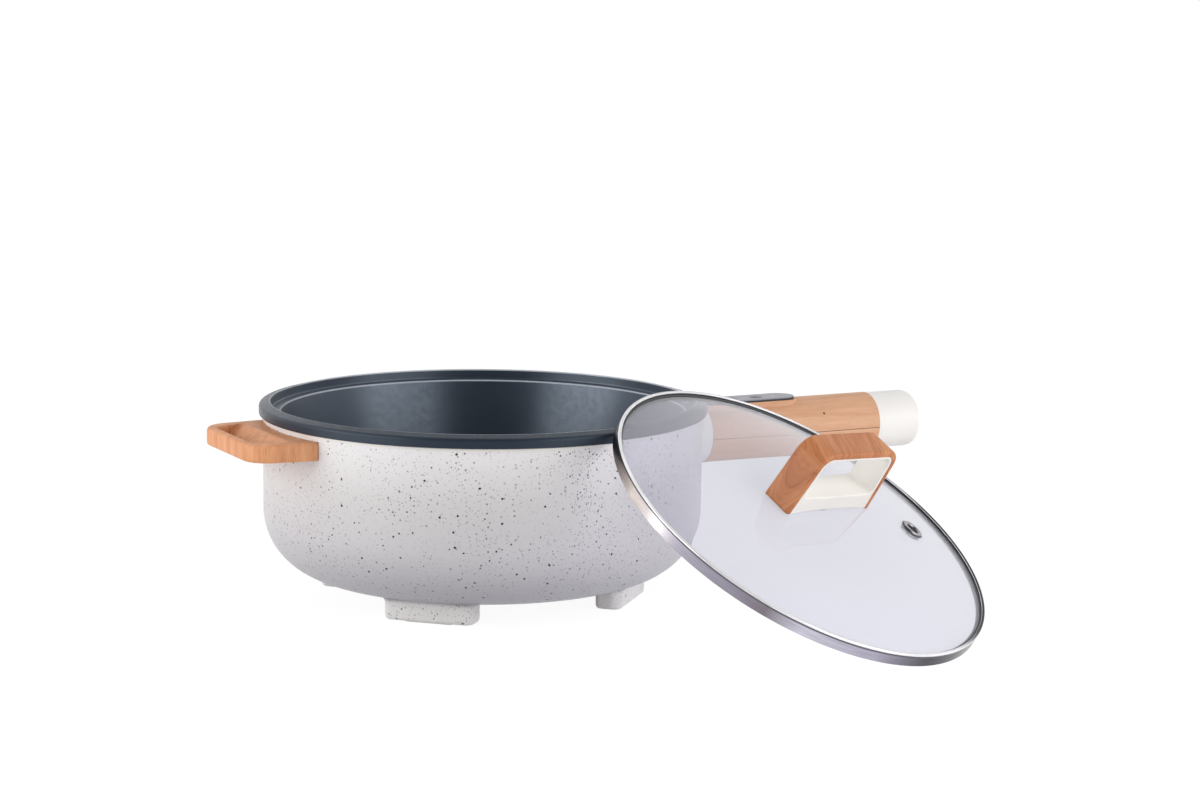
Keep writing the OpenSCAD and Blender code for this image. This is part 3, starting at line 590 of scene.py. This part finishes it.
def reflection_painted_steel(name):
    """The lid's band: polished steel with painted reflections: soft dark and light reaches down its side, a
    dark turn at its upper corner, a painted highlight on the bead with a painted dark foot, and fine brushing. It
    reads its place in the lid's frame."""
    f = Finish(name, [190, 187, 194], 0.2, Metallic=1.0)
    own = f.own_place()
    place = f.parts(own)
    reach = f.reach(own)
    ends = {"From Min": -LID_R * MM, "From Max": LID_R * MM}
    down = f.node("MapRange", {"Value": place["X"], **ends}).outputs["Result"]
    # Painted reflections: dark and light reaches down the band's side, set by the place along the lid.
    side_reflections = f.ramp(down, [(0.03, [30, 30, 33]), (0.1, [84, 80, 82]), (0.17, [140, 126, 118]),
                          (0.27, [236, 226, 218]), (0.45, [172, 168, 180]), (0.62, [150, 145, 160]),
                          (0.7, [128, 120, 128]), (0.78, [206, 204, 218]), (0.92, [176, 172, 190]),
                          (0.985, [70, 68, 74])])
    # Painted dark reflection: a dark turn at the upper corner, darker towards one side.
    dark = rgba([26, 25, 28])
    turn = f.mix(f.past(place["Y"], -20, 50), rgba([96, 92, 100]), dark)
    tone = f.mix(f.past(place["Z"], SKIRT - 1.3, SKIRT - 0.7), side_reflections, turn)
    # Painted highlight along the bead's top, kept off its outer face on one side, with metallic lowered under it.
    right = f.both(f.past(place["X"], -10, 30), f.past(place["Y"], -10, 40))
    outer = f.both(right, f.past(place["Z"], BEAD_Z - 0.6, BEAD_Z - 0.3))
    top = f.maths("SUBTRACT", f.past(place["Z"], SKIRT - 0.1, SKIRT + 0.2), outer)
    highlight_paint = f.maths("MAXIMUM", top, 0.0)
    f.link(f.span(highlight_paint, 0.0, 1.0, 1.0, 0.3), "Metallic")
    tone = f.mix(highlight_paint, tone, rgba([244, 243, 246]))
    # Painted dark reflection at the bead's inner foot.
    inner = f.past(reach, FLANGE_R + 0.4, FLANGE_R + 0.2)
    foot = f.both(inner, f.past(place["Z"], SKIRT + 0.4, SKIRT + 0.1))
    tone = f.mix(foot, tone, dark)
    lines = f.noise(f.stretched((60, 60, 1800), own), 1.0, 3.0, 0.6)
    tone = f.mix(f.span(lines, 0.35, 0.7, 0.0, 0.25), tone, rgba([110, 106, 116]))
    f.link(tone, "Base Color")
    f.link(f.span(lines, 0.3, 0.7, 0.16, 0.26), "Roughness")
    f.bump(lines, 0.06, 0.00002)
    return f.material


def clear_glass(name, tint, clear):
    """Glass with a faint tint and a pale veil, a trace of ripple, and open to the light of lamps."""
    f = Finish(name, tint, 0.0, Transmission_Weight=clear, IOR=1.25)
    f.bump(f.noise(f.coords, 18.0, 1.0), 0.015, 0.0004)
    lamps = f.node("LightPath").outputs["Is Shadow Ray"]
    way_through = f.node("BsdfTransparent", {"Color": rgba([250, 250, 252])})
    f.show(f.node("MixShader", {0: lamps, 1: f.shader.outputs[0], 2: way_through.outputs[0]}))
    return f.material


finishes = {
    "nonstick_pan": nonstick("nonstick_slate", [37, 46, 57]),
    "speckled_shell": speckled("speckled_cream", [236, 233, 233], [238, 233, 227], PLAIN_Z),
    "cream_plastic": moulded("cream_plastic", [226, 222, 214], 0.45),
    "wood_grain": wood("grip_wood", [208, 155, 119], [221, 170, 134], [231, 184, 150], (26, 420, 420), 0.18),
    "white_plastic": moulded("white_plastic", [245, 242, 238], 0.45, change=3),
    "grey_panel": moulded("panel_grey", [132, 132, 146], 0.3, grit=1500, depth=0.00001, change=4),
    "dark_button": moulded("button_grey", [120, 120, 133], 0.35, change=4),
    "lamp_lens": moulded("lamp_amber", [206, 150, 120], 0.15, change=4),
    "lid_glass": clear_glass("lid_glass", [219, 219, 227], 0.83),
    "brushed_rim": steel("rim_steel", [200, 197, 204], 0.22, 0.4, (300, 300, 900)),
    "zinc_steel": steel("zinc_steel", [186, 187, 192], 0.35, 0.0, (500, 500, 500)),
    "aluminium": steel("plain_aluminium", [200, 202, 206], 0.4, 0.0, (200, 900, 900)),
    "heater_sheath": steel("heater_sheath", [104, 98, 94], 0.5, 0.0, (900, 900, 900)),
    "ceramic": moulded("fuse_ceramic", [224, 216, 200], 0.6),
    "silicone": moulded("pale_silicone", [214, 213, 210], 0.6),
    "black_plastic": moulded("black_plastic", [28, 28, 30], 0.42, change=3),
    "brass_pin": steel("pin_nickel", [196, 188, 168], 0.25, 0.0, (800, 800, 800)),
    "circuit_board": moulded("board_green", [44, 104, 68], 0.5),
    "wire_sleeve": moulded("wire_red", [178, 52, 40], 0.5)}
loop_wood = wood("loop_wood", [204, 136, 93], [219, 153, 108], [230, 168, 122], (420, 420, 34), 0.4)
strap_wood = wood("strap_wood", [166, 98, 59], [188, 118, 74], [210, 144, 97], (380, 30, 30), 0.4,
                  own_grain=True)
band_steel = reflection_painted_steel("reflection_painted_steel")
# Dark seal, also used for the pieces that stand in for shade and dark reflection.
seal_and_painted_dark = moulded("seal_and_painted_dark", [20, 20, 24], 0.45, change=3)
knob_white = moulded("knob_white", [239, 235, 229], 0.45, change=3)
# A darker copy of the steel for the eyelet: painted shade.
shaded_vent_steel = steel("shaded_vent_steel", [150, 148, 152], 0.16, 0.0, (300, 300, 900))
seam_brown = moulded("seam_brown", [112, 72, 50], 0.6, change=4)

for part in frame["record"]["subparts"]:
    cad = frame["nodes"][part["node"]]
    cad.data.materials.clear()
    cad.data.materials.append(seam_brown if part["node"] == "grip_plug" else finishes[part["material_slot"]])


# Pot

rim_low = RIM_Z - BAND_H
band_seat = SHELL_R + 0.3
rim_under = RIM_Z - 3
pan_out = STEP_R + PAN_T - 0.6
pan = rounded(
    [[0, FLOOR_Z], [BOWL_R, FLOOR_Z], [LEDGE_R, STEP_Z], [STEP_R, STEP_Z], [STEP_R, LIP_Z], [RIM_R, RIM_Z],
     [RIM_R, rim_low], [band_seat, rim_low], [band_seat, rim_under], [pan_out, rim_under],
     [pan_out, STEP_Z - PAN_T], [LEDGE_R + PAN_T, STEP_Z - PAN_T], [BOWL_R + PAN_T, FLOOR_Z - PAN_T],
     [0, FLOOR_Z - PAN_T]],
    [0, BOWL_CORNER, 1.0, 1.0, 0.5, 2.2, 0.8, 0.2, 0.3, 0.6, 1.4, 0.6, BOWL_CORNER + PAN_T, 0])
put("pan_body", turned(pan, POT_STEPS), POT, finishes["nonstick_pan"], "base",
    ["inner_pan"])

shell_in = SHELL_R - SHELL_T
shell_top = RIM_Z - 3.8
ledge_in = COVER_R - 6
ledge_out = COVER_R + 4
ledge_low = STAND_Z + SHELL_T
ledge_top = STAND_Z + 2 * SHELL_T
shell = rounded(
    [[SHELL_R, shell_top], [SHELL_R, STAND_Z], [COVER_R, STAND_Z], [COVER_R, ledge_low],
     [ledge_in, ledge_low], [ledge_in, ledge_top], [ledge_out, ledge_top], [ledge_out, ledge_low],
     [shell_in, ledge_low], [shell_in, shell_top]],
    [0.5, SHELL_CORNER, 0.4, 0.3, 0.3, 0.3, 0.5, 0.8, SHELL_CORNER - SHELL_T, 0.5])
put("shell_skin", turned(shell, POT_STEPS), POT, finishes["speckled_shell"], "base",
    ["outer_shell"])


def circle_steps(count):
    """Angles round a circle that keep clear of its four quarter points."""
    return np.linspace(0, 2 * np.pi, count, endpoint=False) + np.pi / count


def foot_block():
    """A foot: a rounded rectangle between two circles about the pot, with straight sides, drawn in at the
    bottom edge and flared at the top."""
    phi = circle_steps(FOOT_STEPS)
    inset = np.array(FOOT_INSET)[None, :]
    height = np.array(FOOT_HEIGHT)[None, :]
    half_r = (FOOT_OUT - FOOT_IN) / 2 - inset
    half_s = FOOT_LEN / 2 - inset
    corner = np.clip(FOOT_ROUND - inset, 0.05, half_r)
    c, s = np.cos(phi)[:, None], np.sin(phi)[:, None]
    radius = (FOOT_IN + FOOT_OUT) / 2 + np.sign(c) * (half_r - corner) + corner * c
    across = np.sign(s) * (half_s - corner) + corner * s
    ring = np.stack([np.sqrt(radius ** 2 - across ** 2), across, height + 0 * radius], axis=-1)
    return closed_ends(ring.transpose(1, 0, 2))


for number in range(1, 5):
    put(f"foot_block_{number}", foot_block(), turned_frame(POT, 90 * number - 45), finishes["speckled_shell"],
        "base", [f"foot_{number}"], wrap=False)


# Side handle


def loop_outline(x_out, half_out, x_in, half_in, radii):
    """A rounded four-sided outline of the side handle, from its outer side to its side at the pot."""
    corners = [[-x_out, -half_out], [-x_out, half_out], [-x_in, half_in], [-x_in, -half_in]]
    return stations(corners, radii, LOOP_ARC, LOOP_SIDE)


def side_loop():
    """The side handle as a ring about its slot: at each point of the ring, five corners run from the outer
    face over the top, down the well's ramp and through the slot, and are softened."""
    outer = loop_outline(SIDE_X, SIDE_HALF, ROOT_X, ROOT_HALF, [18, 18, 2, 2])
    well = loop_outline(WELL_X, WELL_HALF, RAMP_X, RAMP_HALF, [6, 6, 3, 3])
    slot = loop_outline(WELL_X, WELL_HALF, SLOT_X, SLOT_HALF, [6, 6, 2, 2])
    wall = -np.sqrt((SHELL_R - WALL_SINK) ** 2 - outer[:, 1] ** 2)
    outer[:, 0] = np.minimum(outer[:, 0], wall)
    at_pot = outer[:, 0] > wall - WALL_NEAR
    ring = np.stack([level(outer, SIDE_LOW), level(outer, SIDE_TOP), level(well, SIDE_TOP),
                     level(slot, SIDE_LOW + SLOT_WALL), level(slot, SIDE_LOW)], axis=1)
    cuts = np.tile([2.6, 3.2, 2.6, 2.0, 0.8], (len(outer), 1))
    cuts[at_pot, :2] = 0.3
    return softened(ring, cuts, 8)


put("side_loop", side_loop(), POT, loop_wood, "base", ["side_handle"])


# Long handle


def end_cap():
    """The end cap: about the handle's axis, its section runs along the outside, over the rounded edge to the
    inlet's rounded opening and back inside."""
    phi = circle_steps(CAP_STEPS)
    c, s = np.cos(phi), np.sin(phi)
    flat_x, flat_y = INLET_W / 2 - INLET_ROUND, INLET_H / 2 - INLET_ROUND
    hole = np.stack([np.sign(c) * flat_x + INLET_ROUND * c, np.sign(s) * flat_y + INLET_ROUND * s], axis=1)
    disc = np.stack([c, s], axis=1)
    edge = CAP_X + CAP_LEN
    ring = np.stack([level(CAP_SEAT * disc, CAP_X), level(CAP_R * disc, CAP_X), level(CAP_R * disc, edge),
                     level(hole, edge), level(hole, edge - CAP_WALL),
                     level(CAP_BORE * disc, edge - CAP_WALL)], axis=1)
    return softened(ring, [0.5, 0.6, 6.5, 0.5, 0.5, 0.5], 12)


put("end_cap_skin", end_cap(), HANDLE, finishes["white_plastic"], "base",
    ["handle_end_cap"])


def tongue(x0, x1, half):
    """The panel's outline: square at the pot, round at the far end."""
    a = np.linspace(-np.pi / 2, np.pi / 2, TIP_STEPS)
    tip = np.stack([x1 - half + half * np.cos(a), half * np.sin(a)], axis=1)
    t = np.linspace(0, 1, EDGE_STEPS, endpoint=False)[:, None]
    low = np.array([x0, -half]) + t * (tip[0] - [x0, -half])
    high = tip[-1] + (t + 1 / EDGE_STEPS) * (np.array([x0, half]) - tip[-1])
    side = np.array([x0, half]) + t[1:] * np.array([0, -2 * half])
    return np.vstack([low, tip, high, side])


def panel_shadow_line():
    """Painted shade: a dark flat ring between two panel outlines, standing in for the shadow under the panel."""
    out = tongue(PANEL_X - SHADOW_LINE_OUT, PANEL_END + SHADOW_LINE_OUT, PANEL_W / 2 + SHADOW_LINE_OUT)
    inn = tongue(PANEL_X + SHADOW_LINE_IN, PANEL_END - SHADOW_LINE_IN, PANEL_W / 2 - SHADOW_LINE_IN)
    low, high = PLINTH_Z - SHADOW_LINE_LOW, PLINTH_Z + SHADOW_LINE_TOP
    ring = np.stack([level(out, low), level(out, high), level(inn, high), level(inn, low)], axis=1)
    return softened(ring, 0.15, 4)


put("panel_shadow_line", panel_shadow_line(), POT, seal_and_painted_dark, "base")


def seam_line(side):
    """The dark line between the grip's halves: a thin soft rectangle carried along the handle."""
    y = side * np.sqrt(GRIP_R ** 2 - (AXIS_Z - SEAM_Z) ** 2)
    near, far = y - SEAM_T / 2, y + SEAM_T / 2
    low, high = SEAM_Z - SEAM_H / 2, SEAM_Z + SEAM_H / 2
    section = softened([[near, low], [far, low], [far, high], [near, high]], 0.06, 3)
    x = np.linspace(GRIP_X + SEAM_GAP, CAP_X - SEAM_GAP, SEAM_STEPS)[:, None]
    grid = np.stack([x + 0 * section[:, 0], section[:, 0] + 0 * x, section[:, 1] + 0 * x], axis=-1)
    return closed_ends(grid)


for name, side in (("grip_seam_front", -1), ("grip_seam_back", 1)):
    put(name, seam_line(side), POT, seam_brown, "base", wrap=False)


def button_cap(centre_x):
    """A push button: turned, with a soft edge, a shallow dish and a raised middle dot."""
    top = PLINTH_Z + PANEL_T + 0.4
    dish = [[0, top - 0.1], [0.55, top - 0.12], [0.8, top - 0.3], [1.6, top - 0.32], [2.6, top - 0.2]]
    edge = [[3.3, top - 0.03], [3.7, top], [3.95, top - 0.07], [4.13, top - 0.25], [BUTTON_R, top - 0.5]]
    foot = [[BUTTON_R, PLINTH_Z - 0.4], [BUTTON_FOOT, PLINTH_Z - 0.45], [BUTTON_FOOT, PLINTH_Z - 1.4]]
    stem = [[STEM_R, PLINTH_Z - 1.4], [STEM_R, STEM_Z], [0, STEM_Z]]
    profile = np.array(dish + edge + foot + stem)
    return turned(profile, BUTTON_STEPS), turned_frame(POT, 0, (centre_x, 0, 0))


for key, centre_x in BUTTON_X.items():
    cap_grid, cap_place = button_cap(centre_x)
    put(f"{key}_cap", cap_grid, cap_place, finishes["dark_button"], f"{key}_key",
        [f"{key}_button"])


# Lid


def dome(plan, radius):
    """Height of a ball of that radius over points of the lid's plane."""
    reach = np.sum(plan ** 2, axis=-1)
    return DOME_Z + np.sqrt(radius ** 2 - reach)


def lid_pane():
    """The glass: rings that pass from the vent's hole to the round edge, raised to the upper and lower domes
    and no lower than the flat edge."""
    a = np.linspace(0, 2 * np.pi, PANE_STEPS, endpoint=False)[:, None]
    way = np.stack([np.cos(a), np.sin(a)], axis=-1)
    out = np.linspace(0, 1, PANE_ROWS)[None, :, None]
    centre = VENT_REACH * vent_out[:2]

    def sheet(hole_at, radius, flat):
        plan = (1 - out) * (hole_at + VENT_HOLE * way) + out * GLASS_EDGE * way
        return np.concatenate([plan, np.maximum(dome(plan, radius), flat)[..., None]], axis=-1)

    upper = sheet(centre * (GLASS_TOP_R / DOME_R), GLASS_TOP_R, GLASS_LOW + GLASS_T)
    lower = sheet(centre, DOME_R, GLASS_LOW)
    return np.concatenate([upper, lower[:, ::-1]], axis=1)


put("lid_pane", lid_pane(), LID, finishes["lid_glass"], "lid", ["lid_glass"])

band_in = LID_R - BAND_T
pinch = SKIRT - 0.55
band = rounded(
    [[LID_R, 0], [LID_R, BEAD_Z], [FLANGE_R, BEAD_Z], [FLANGE_R, pinch], [band_in, pinch],
     [band_in, HEM_TOP], [FLANGE_R, HEM_TOP], [FLANGE_R, HEM_LOW], [band_in, HEM_LOW], [band_in, 0]],
    [0.25, 1.2, 0.9, 0.2, 0.4, 0.2, 0.2, 0.2, 0.2, 0.2], 9)
band_grid = turned(band, LID_STEPS)
put("lid_band", band_grid, LID, band_steel, "lid", ["lid_rim"], grain=band_grid)


def broadened(grid, inside, most, heading):
    """A ring on the glass whose points within a radius are drawn in and up the dome, most at one heading: the
    fourth power of the cosine of the angle from it."""
    reach = np.linalg.norm(grid[..., :2], axis=-1)
    toward = np.clip((grid[..., 0] * np.cos(heading) + grid[..., 1] * np.sin(heading)) / reach, 0, 1)
    drawn = most * toward ** 4 * (reach < inside)
    plan = grid[..., :2] * (1 - drawn / reach)[..., None]
    rise = dome(plan, GLASS_TOP_R) - dome(grid[..., :2], GLASS_TOP_R)
    return np.concatenate([plan, (grid[..., 2] + rise)[..., None]], axis=-1)


# A dark seal between the band and the glass, widened towards one heading as a painted dark reflection.
seal_out = FLANGE_R - 0.05
bead = rounded([[SEAL_R, SEAL_Z], [seal_out, SEAL_Z - 0.02], [seal_out, SEAL_Z + 0.5],
                [SEAL_R + 0.2, SEAL_Z + 0.4]], [0.1, 0.1, 0.1, 0.2])
bead_grid = broadened(turned(bead, LID_STEPS), SEAL_R + 0.7, SEAL_PAINTED_WIDENING, np.radians(SEAL_PAINTED_HEADING))
put("rim_bead", bead_grid, LID, seal_and_painted_dark, "lid")

# Painted dark reflection: a dark lining inside the band that stands in for the dark look of the band's inner steel
# through the glass.
lip_out = LINING_R + 1.5
wall_in = GLASS_EDGE + 0.06
wall_out = GLASS_EDGE + 0.44
wall_low = LINING_TOP - 0.59
wall_top = pinch - 0.1
painted_lining = rounded(
    [[LINING_R, LINING_LOW], [lip_out, LINING_LOW], [lip_out, wall_low], [wall_out, wall_low],
     [wall_out, wall_top], [wall_in, wall_top], [wall_in, LINING_TOP], [LINING_R, LINING_TOP]],
    [0.3, 0.2, 0.2, 0.2, 0.1, 0.1, 0.1, 0.2])
put("painted_dark_lining", turned(painted_lining, LID_STEPS), LID, seal_and_painted_dark, "lid")

eyelet_low = -EYELET_T
eyelet_top = GLASS_T + EYELET_T
eyelet = rounded(
    [[EYELET_BORE, eyelet_low], [EYELET_R, eyelet_low], [EYELET_R, -0.2], [EYELET_NECK, -0.2],
     [EYELET_NECK, GLASS_T], [EYELET_R, GLASS_T], [EYELET_R, eyelet_top], [EYELET_BORE, eyelet_top]],
    [0.9, 0.4, 0.3, 0.2, 0.2, 0.3, 0.7, 1.1], 9)
put("vent_eyelet", turned(eyelet, VENT_STEPS), VENT, shaded_vent_steel, "lid", ["vent_grommet"])

# Painted dark edge: a dark ring under the eyelet's flange that outlines the eyelet in dark.
seal_low = GLASS_T + 0.05
seal_top = GLASS_T + 0.4
vent_dark_edge = rounded([[EYELET_R - 0.3, seal_low], [EYELET_R + 0.6, seal_low], [EYELET_R + 0.6, seal_top],
                     [EYELET_R - 0.3, seal_top]], [0.1, 0.1, 0.15, 0.1])
put("vent_dark_edge", turned(vent_dark_edge, VENT_STEPS), VENT, seal_and_painted_dark, "lid")


def on_glass(points, lift):
    """Raises what would sink into the glass to just above the dome, leaving the rest."""
    lowest = dome(points[..., :2], GLASS_TOP_R) + lift
    raised = points.copy()
    raised[..., 2] = np.maximum(points[..., 2], lowest)
    return raised


def upright(plan, depth):
    """Points of the handle's upright plane, set back by a depth and leaning a little along the handle."""
    along = plan[:, 0] + KNOB_LEAN * (plan[:, 1] - LEAN_FROM)
    return np.stack([along, np.full(len(plan), depth), APEX + plan[:, 1]], axis=-1)


def bridge_outline(low, high, foot, top, radii):
    """An outline of the handle's upright plane that narrows from its foot to its top."""
    return stations([[-low, foot], [low, foot], [high, top], [-high, top]], radii, KNOB_ARC, KNOB_SIDE)


def bridge_ring(out, inn, half):
    """Four corners at each point of two outlines, on the near and far faces, clear of the glass."""
    corners = [upright(out, half), upright(out, -half), upright(inn, -half), upright(inn, half)]
    return on_glass(np.stack(corners, axis=1), KNOB_LIFT)


core_radii = [0.6, 0.6, KNOB_ROUND, KNOB_ROUND]
core_outline = bridge_outline(KNOB_LOW, KNOB_HIGH, KNOB_FOOT, KNOB_TOP, core_radii)


def knob_core():
    """The white bridge: a ring about the window, a soft rectangle in section, its foot on the dome."""
    window = bridge_outline(WINDOW_LOW, WINDOW_HIGH, WINDOW_SILL, WINDOW_TOP, [4.5, 4.5, 6, 6])
    return softened(bridge_ring(core_outline, window, KNOB_W / 2), [0.7, 0.7, 0.9, 0.9], 8)


put("knob_core", knob_core(), KNOB, knob_white, "lid", ["lid_handle_core"])


def strap_grain_of(run, across):
    """Grain of the strap: arches up each leg that turn, over each bend, into slanting lines across the top.
    The share of the top grows with the distance from the nearer end, by a cubic with level ends."""
    length = run[-1, 0]
    edge = np.minimum(run, length - run) / length
    over = np.clip((edge - BEND_FROM) / BEND_SPAN, 0, 1) + 0 * across
    over = over * over * (3 - 2 * over)
    leg = 1 - over
    rings = (RING_SLOPE * leg + over) * (run - FAR_BEND * length) + RING_SLANT * over * across
    return np.stack([rings, leg * run + over * across, leg * across + TOP_DEPTH * over], axis=-1)


def knob_strap():
    """The wood strap and its grain: a soft flat section carried up one leg, over the top and down."""
    strap_radii = [0.6, 0.6, KNOB_ROUND + STRAP_T, KNOB_ROUND + STRAP_T]
    out = bridge_outline(KNOB_LOW + STRAP_T, KNOB_HIGH + STRAP_T, KNOB_FOOT, KNOB_TOP + STRAP_T, strap_radii)
    kept = slice(2 * KNOB_ARC + KNOB_SIDE - 1, None)
    out, inn = out[kept], core_outline[kept]
    grid = softened(bridge_ring(out, inn, KNOB_W / 2 + STRAP_PROUD), [1.6, 1.6, 0.4, 0.4], 7)
    run = np.cumsum(np.linalg.norm(np.diff(out, axis=0, prepend=out[:1]), axis=1))[:, None]
    return closed_ends(grid), closed_ends(strap_grain_of(run, grid[..., 1]))


strap_grid, strap_grain = knob_strap()
put("knob_strap", strap_grid, KNOB, strap_wood, "lid", ["lid_handle_strap"], wrap=False,
    grain=strap_grain)


# Stage, light and camera

FLOOR_GLOW = 0.93
FLOOR_DULL = 0.14
FLOOR_HALF = 9.0
FLOOR_DROP = 0.0004
DIM_SIDE = (-0.42, -0.79, 0.45)
AIM_Z = 0.08
LENS = 84.0
SENSOR = 36.0
NEAREST = 0.05
FARTHEST = 60.0


def floor_finish():
    """Pale floor: plain for bounced light, and lifted to white where seen, so that only shadow shows."""
    f = Finish("pale_floor", [232, 232, 234], 0.9)
    path = f.node("LightPath").outputs
    seen = f.maths("MAXIMUM", path["Is Camera Ray"],
                   f.maths("MAXIMUM", path["Is Glossy Ray"], path["Is Transmission Ray"]))
    glow = f.node("Emission", {"Color": (1, 1, 1, 1), "Strength": FLOOR_GLOW})
    dull = f.node("BsdfDiffuse", {"Color": (FLOOR_DULL, FLOOR_DULL, FLOOR_DULL, 1)})
    lifted = f.node("AddShader", {0: glow.outputs[0], 1: dull.outputs[0]})
    f.show(f.node("MixShader", {0: seen, 1: f.shader.outputs[0], 2: lifted.outputs[0]}))
    return f.material


floor_mesh = bpy.data.meshes.new("floor")
floor_signs = ((-1, -1), (1, -1), (1, 1), (-1, 1))
floor_corners = [(x * FLOOR_HALF, y * FLOOR_HALF, -FLOOR_DROP) for x, y in floor_signs]
floor_mesh.from_pydata(floor_corners, [], [(0, 1, 2, 3)])
floor_mesh.materials.append(floor_finish())
floor = bpy.data.objects.new("floor", floor_mesh)
bpy.context.scene.collection.objects.link(floor)


def studio_room():
    """A white room: full white where it is seen or shows through glass, and for gloss and light dimmer on the
    side that the lamps at left and right leave dark."""
    world = bpy.data.worlds.new("studio")
    world.use_nodes = True
    room = Nodes(world.node_tree)
    way = room.node("TexCoord").outputs["Generated"]
    front = room.node("VectorMath", {0: way, 1: DIM_SIDE}, operation="DOT_PRODUCT").outputs["Value"]
    path = room.node("LightPath").outputs
    light = room.span(front, -0.2, 0.9, 0.72, 0.22)
    gloss = room.span(front, 0.1, 0.8, 1.0, 0.12)
    level = room.span(path["Is Glossy Ray"], 0.0, 1.0, light, gloss)
    seen = room.maths("MAXIMUM", path["Is Camera Ray"], path["Is Transmission Ray"])
    level = room.span(seen, 0.0, 1.0, level, 1.0)
    back = world.node_tree.nodes["Background"]
    back.inputs["Color"].default_value = (1, 1, 1, 1)
    world.node_tree.links.new(level, back.inputs["Strength"])
    return world


bpy.context.scene.world = studio_room()


def softbox(name, at, wide, tall, power):
    """A lamp at a place about the pot, facing a point above its middle and hidden from the camera."""
    lamp = bpy.data.lights.new(name, "AREA")
    lamp.shape = "RECTANGLE"
    lamp.size = wide
    lamp.size_y = tall
    lamp.energy = power
    holder = bpy.data.objects.new(name, lamp)
    target = Vector(POT[0]) + Vector((0, 0, AIM_Z))
    holder.location = Vector(POT[0]) + Vector(at)
    holder.rotation_euler = (target - holder.location).to_track_quat("-Z", "Y").to_euler()
    holder.visible_camera = False
    bpy.context.scene.collection.objects.link(holder)


softbox("left_light", (-1.52, -0.02, 0.5), 1.4, 0.9, 15.0)
softbox("right_light", (0.72, -1.34, 0.5), 1.4, 0.9, 13.5)
softbox("top_light", (0.1, 0.3, 2.0), 1.2, 1.2, 2.0)

CAMERA_AT = Vector(POT[0]) + Vector((-0.8041, -1.67946, 0.41999))
CAMERA_AHEAD = Vector((0.46382, 0.87236, -0.1547))
CAMERA_UP = Vector((0.06124, 0.14269, 0.9879))
camera_data = bpy.data.cameras.new("camera")
camera_data.lens = LENS
camera_data.sensor_width = SENSOR
camera_data.clip_start = NEAREST
camera_data.clip_end = FARTHEST
camera = bpy.data.objects.new("camera", camera_data)
bpy.context.scene.collection.objects.link(camera)
ahead = CAMERA_AHEAD.normalized()
right = ahead.cross(CAMERA_UP).normalized()
above = right.cross(ahead)
camera_turn = Matrix((right, above, -ahead)).transposed().to_4x4()
camera.matrix_world = Matrix.Translation(CAMERA_AT) @ camera_turn
bpy.context.scene.camera = camera
bpy.context.scene.view_settings.view_transform = "Standard"
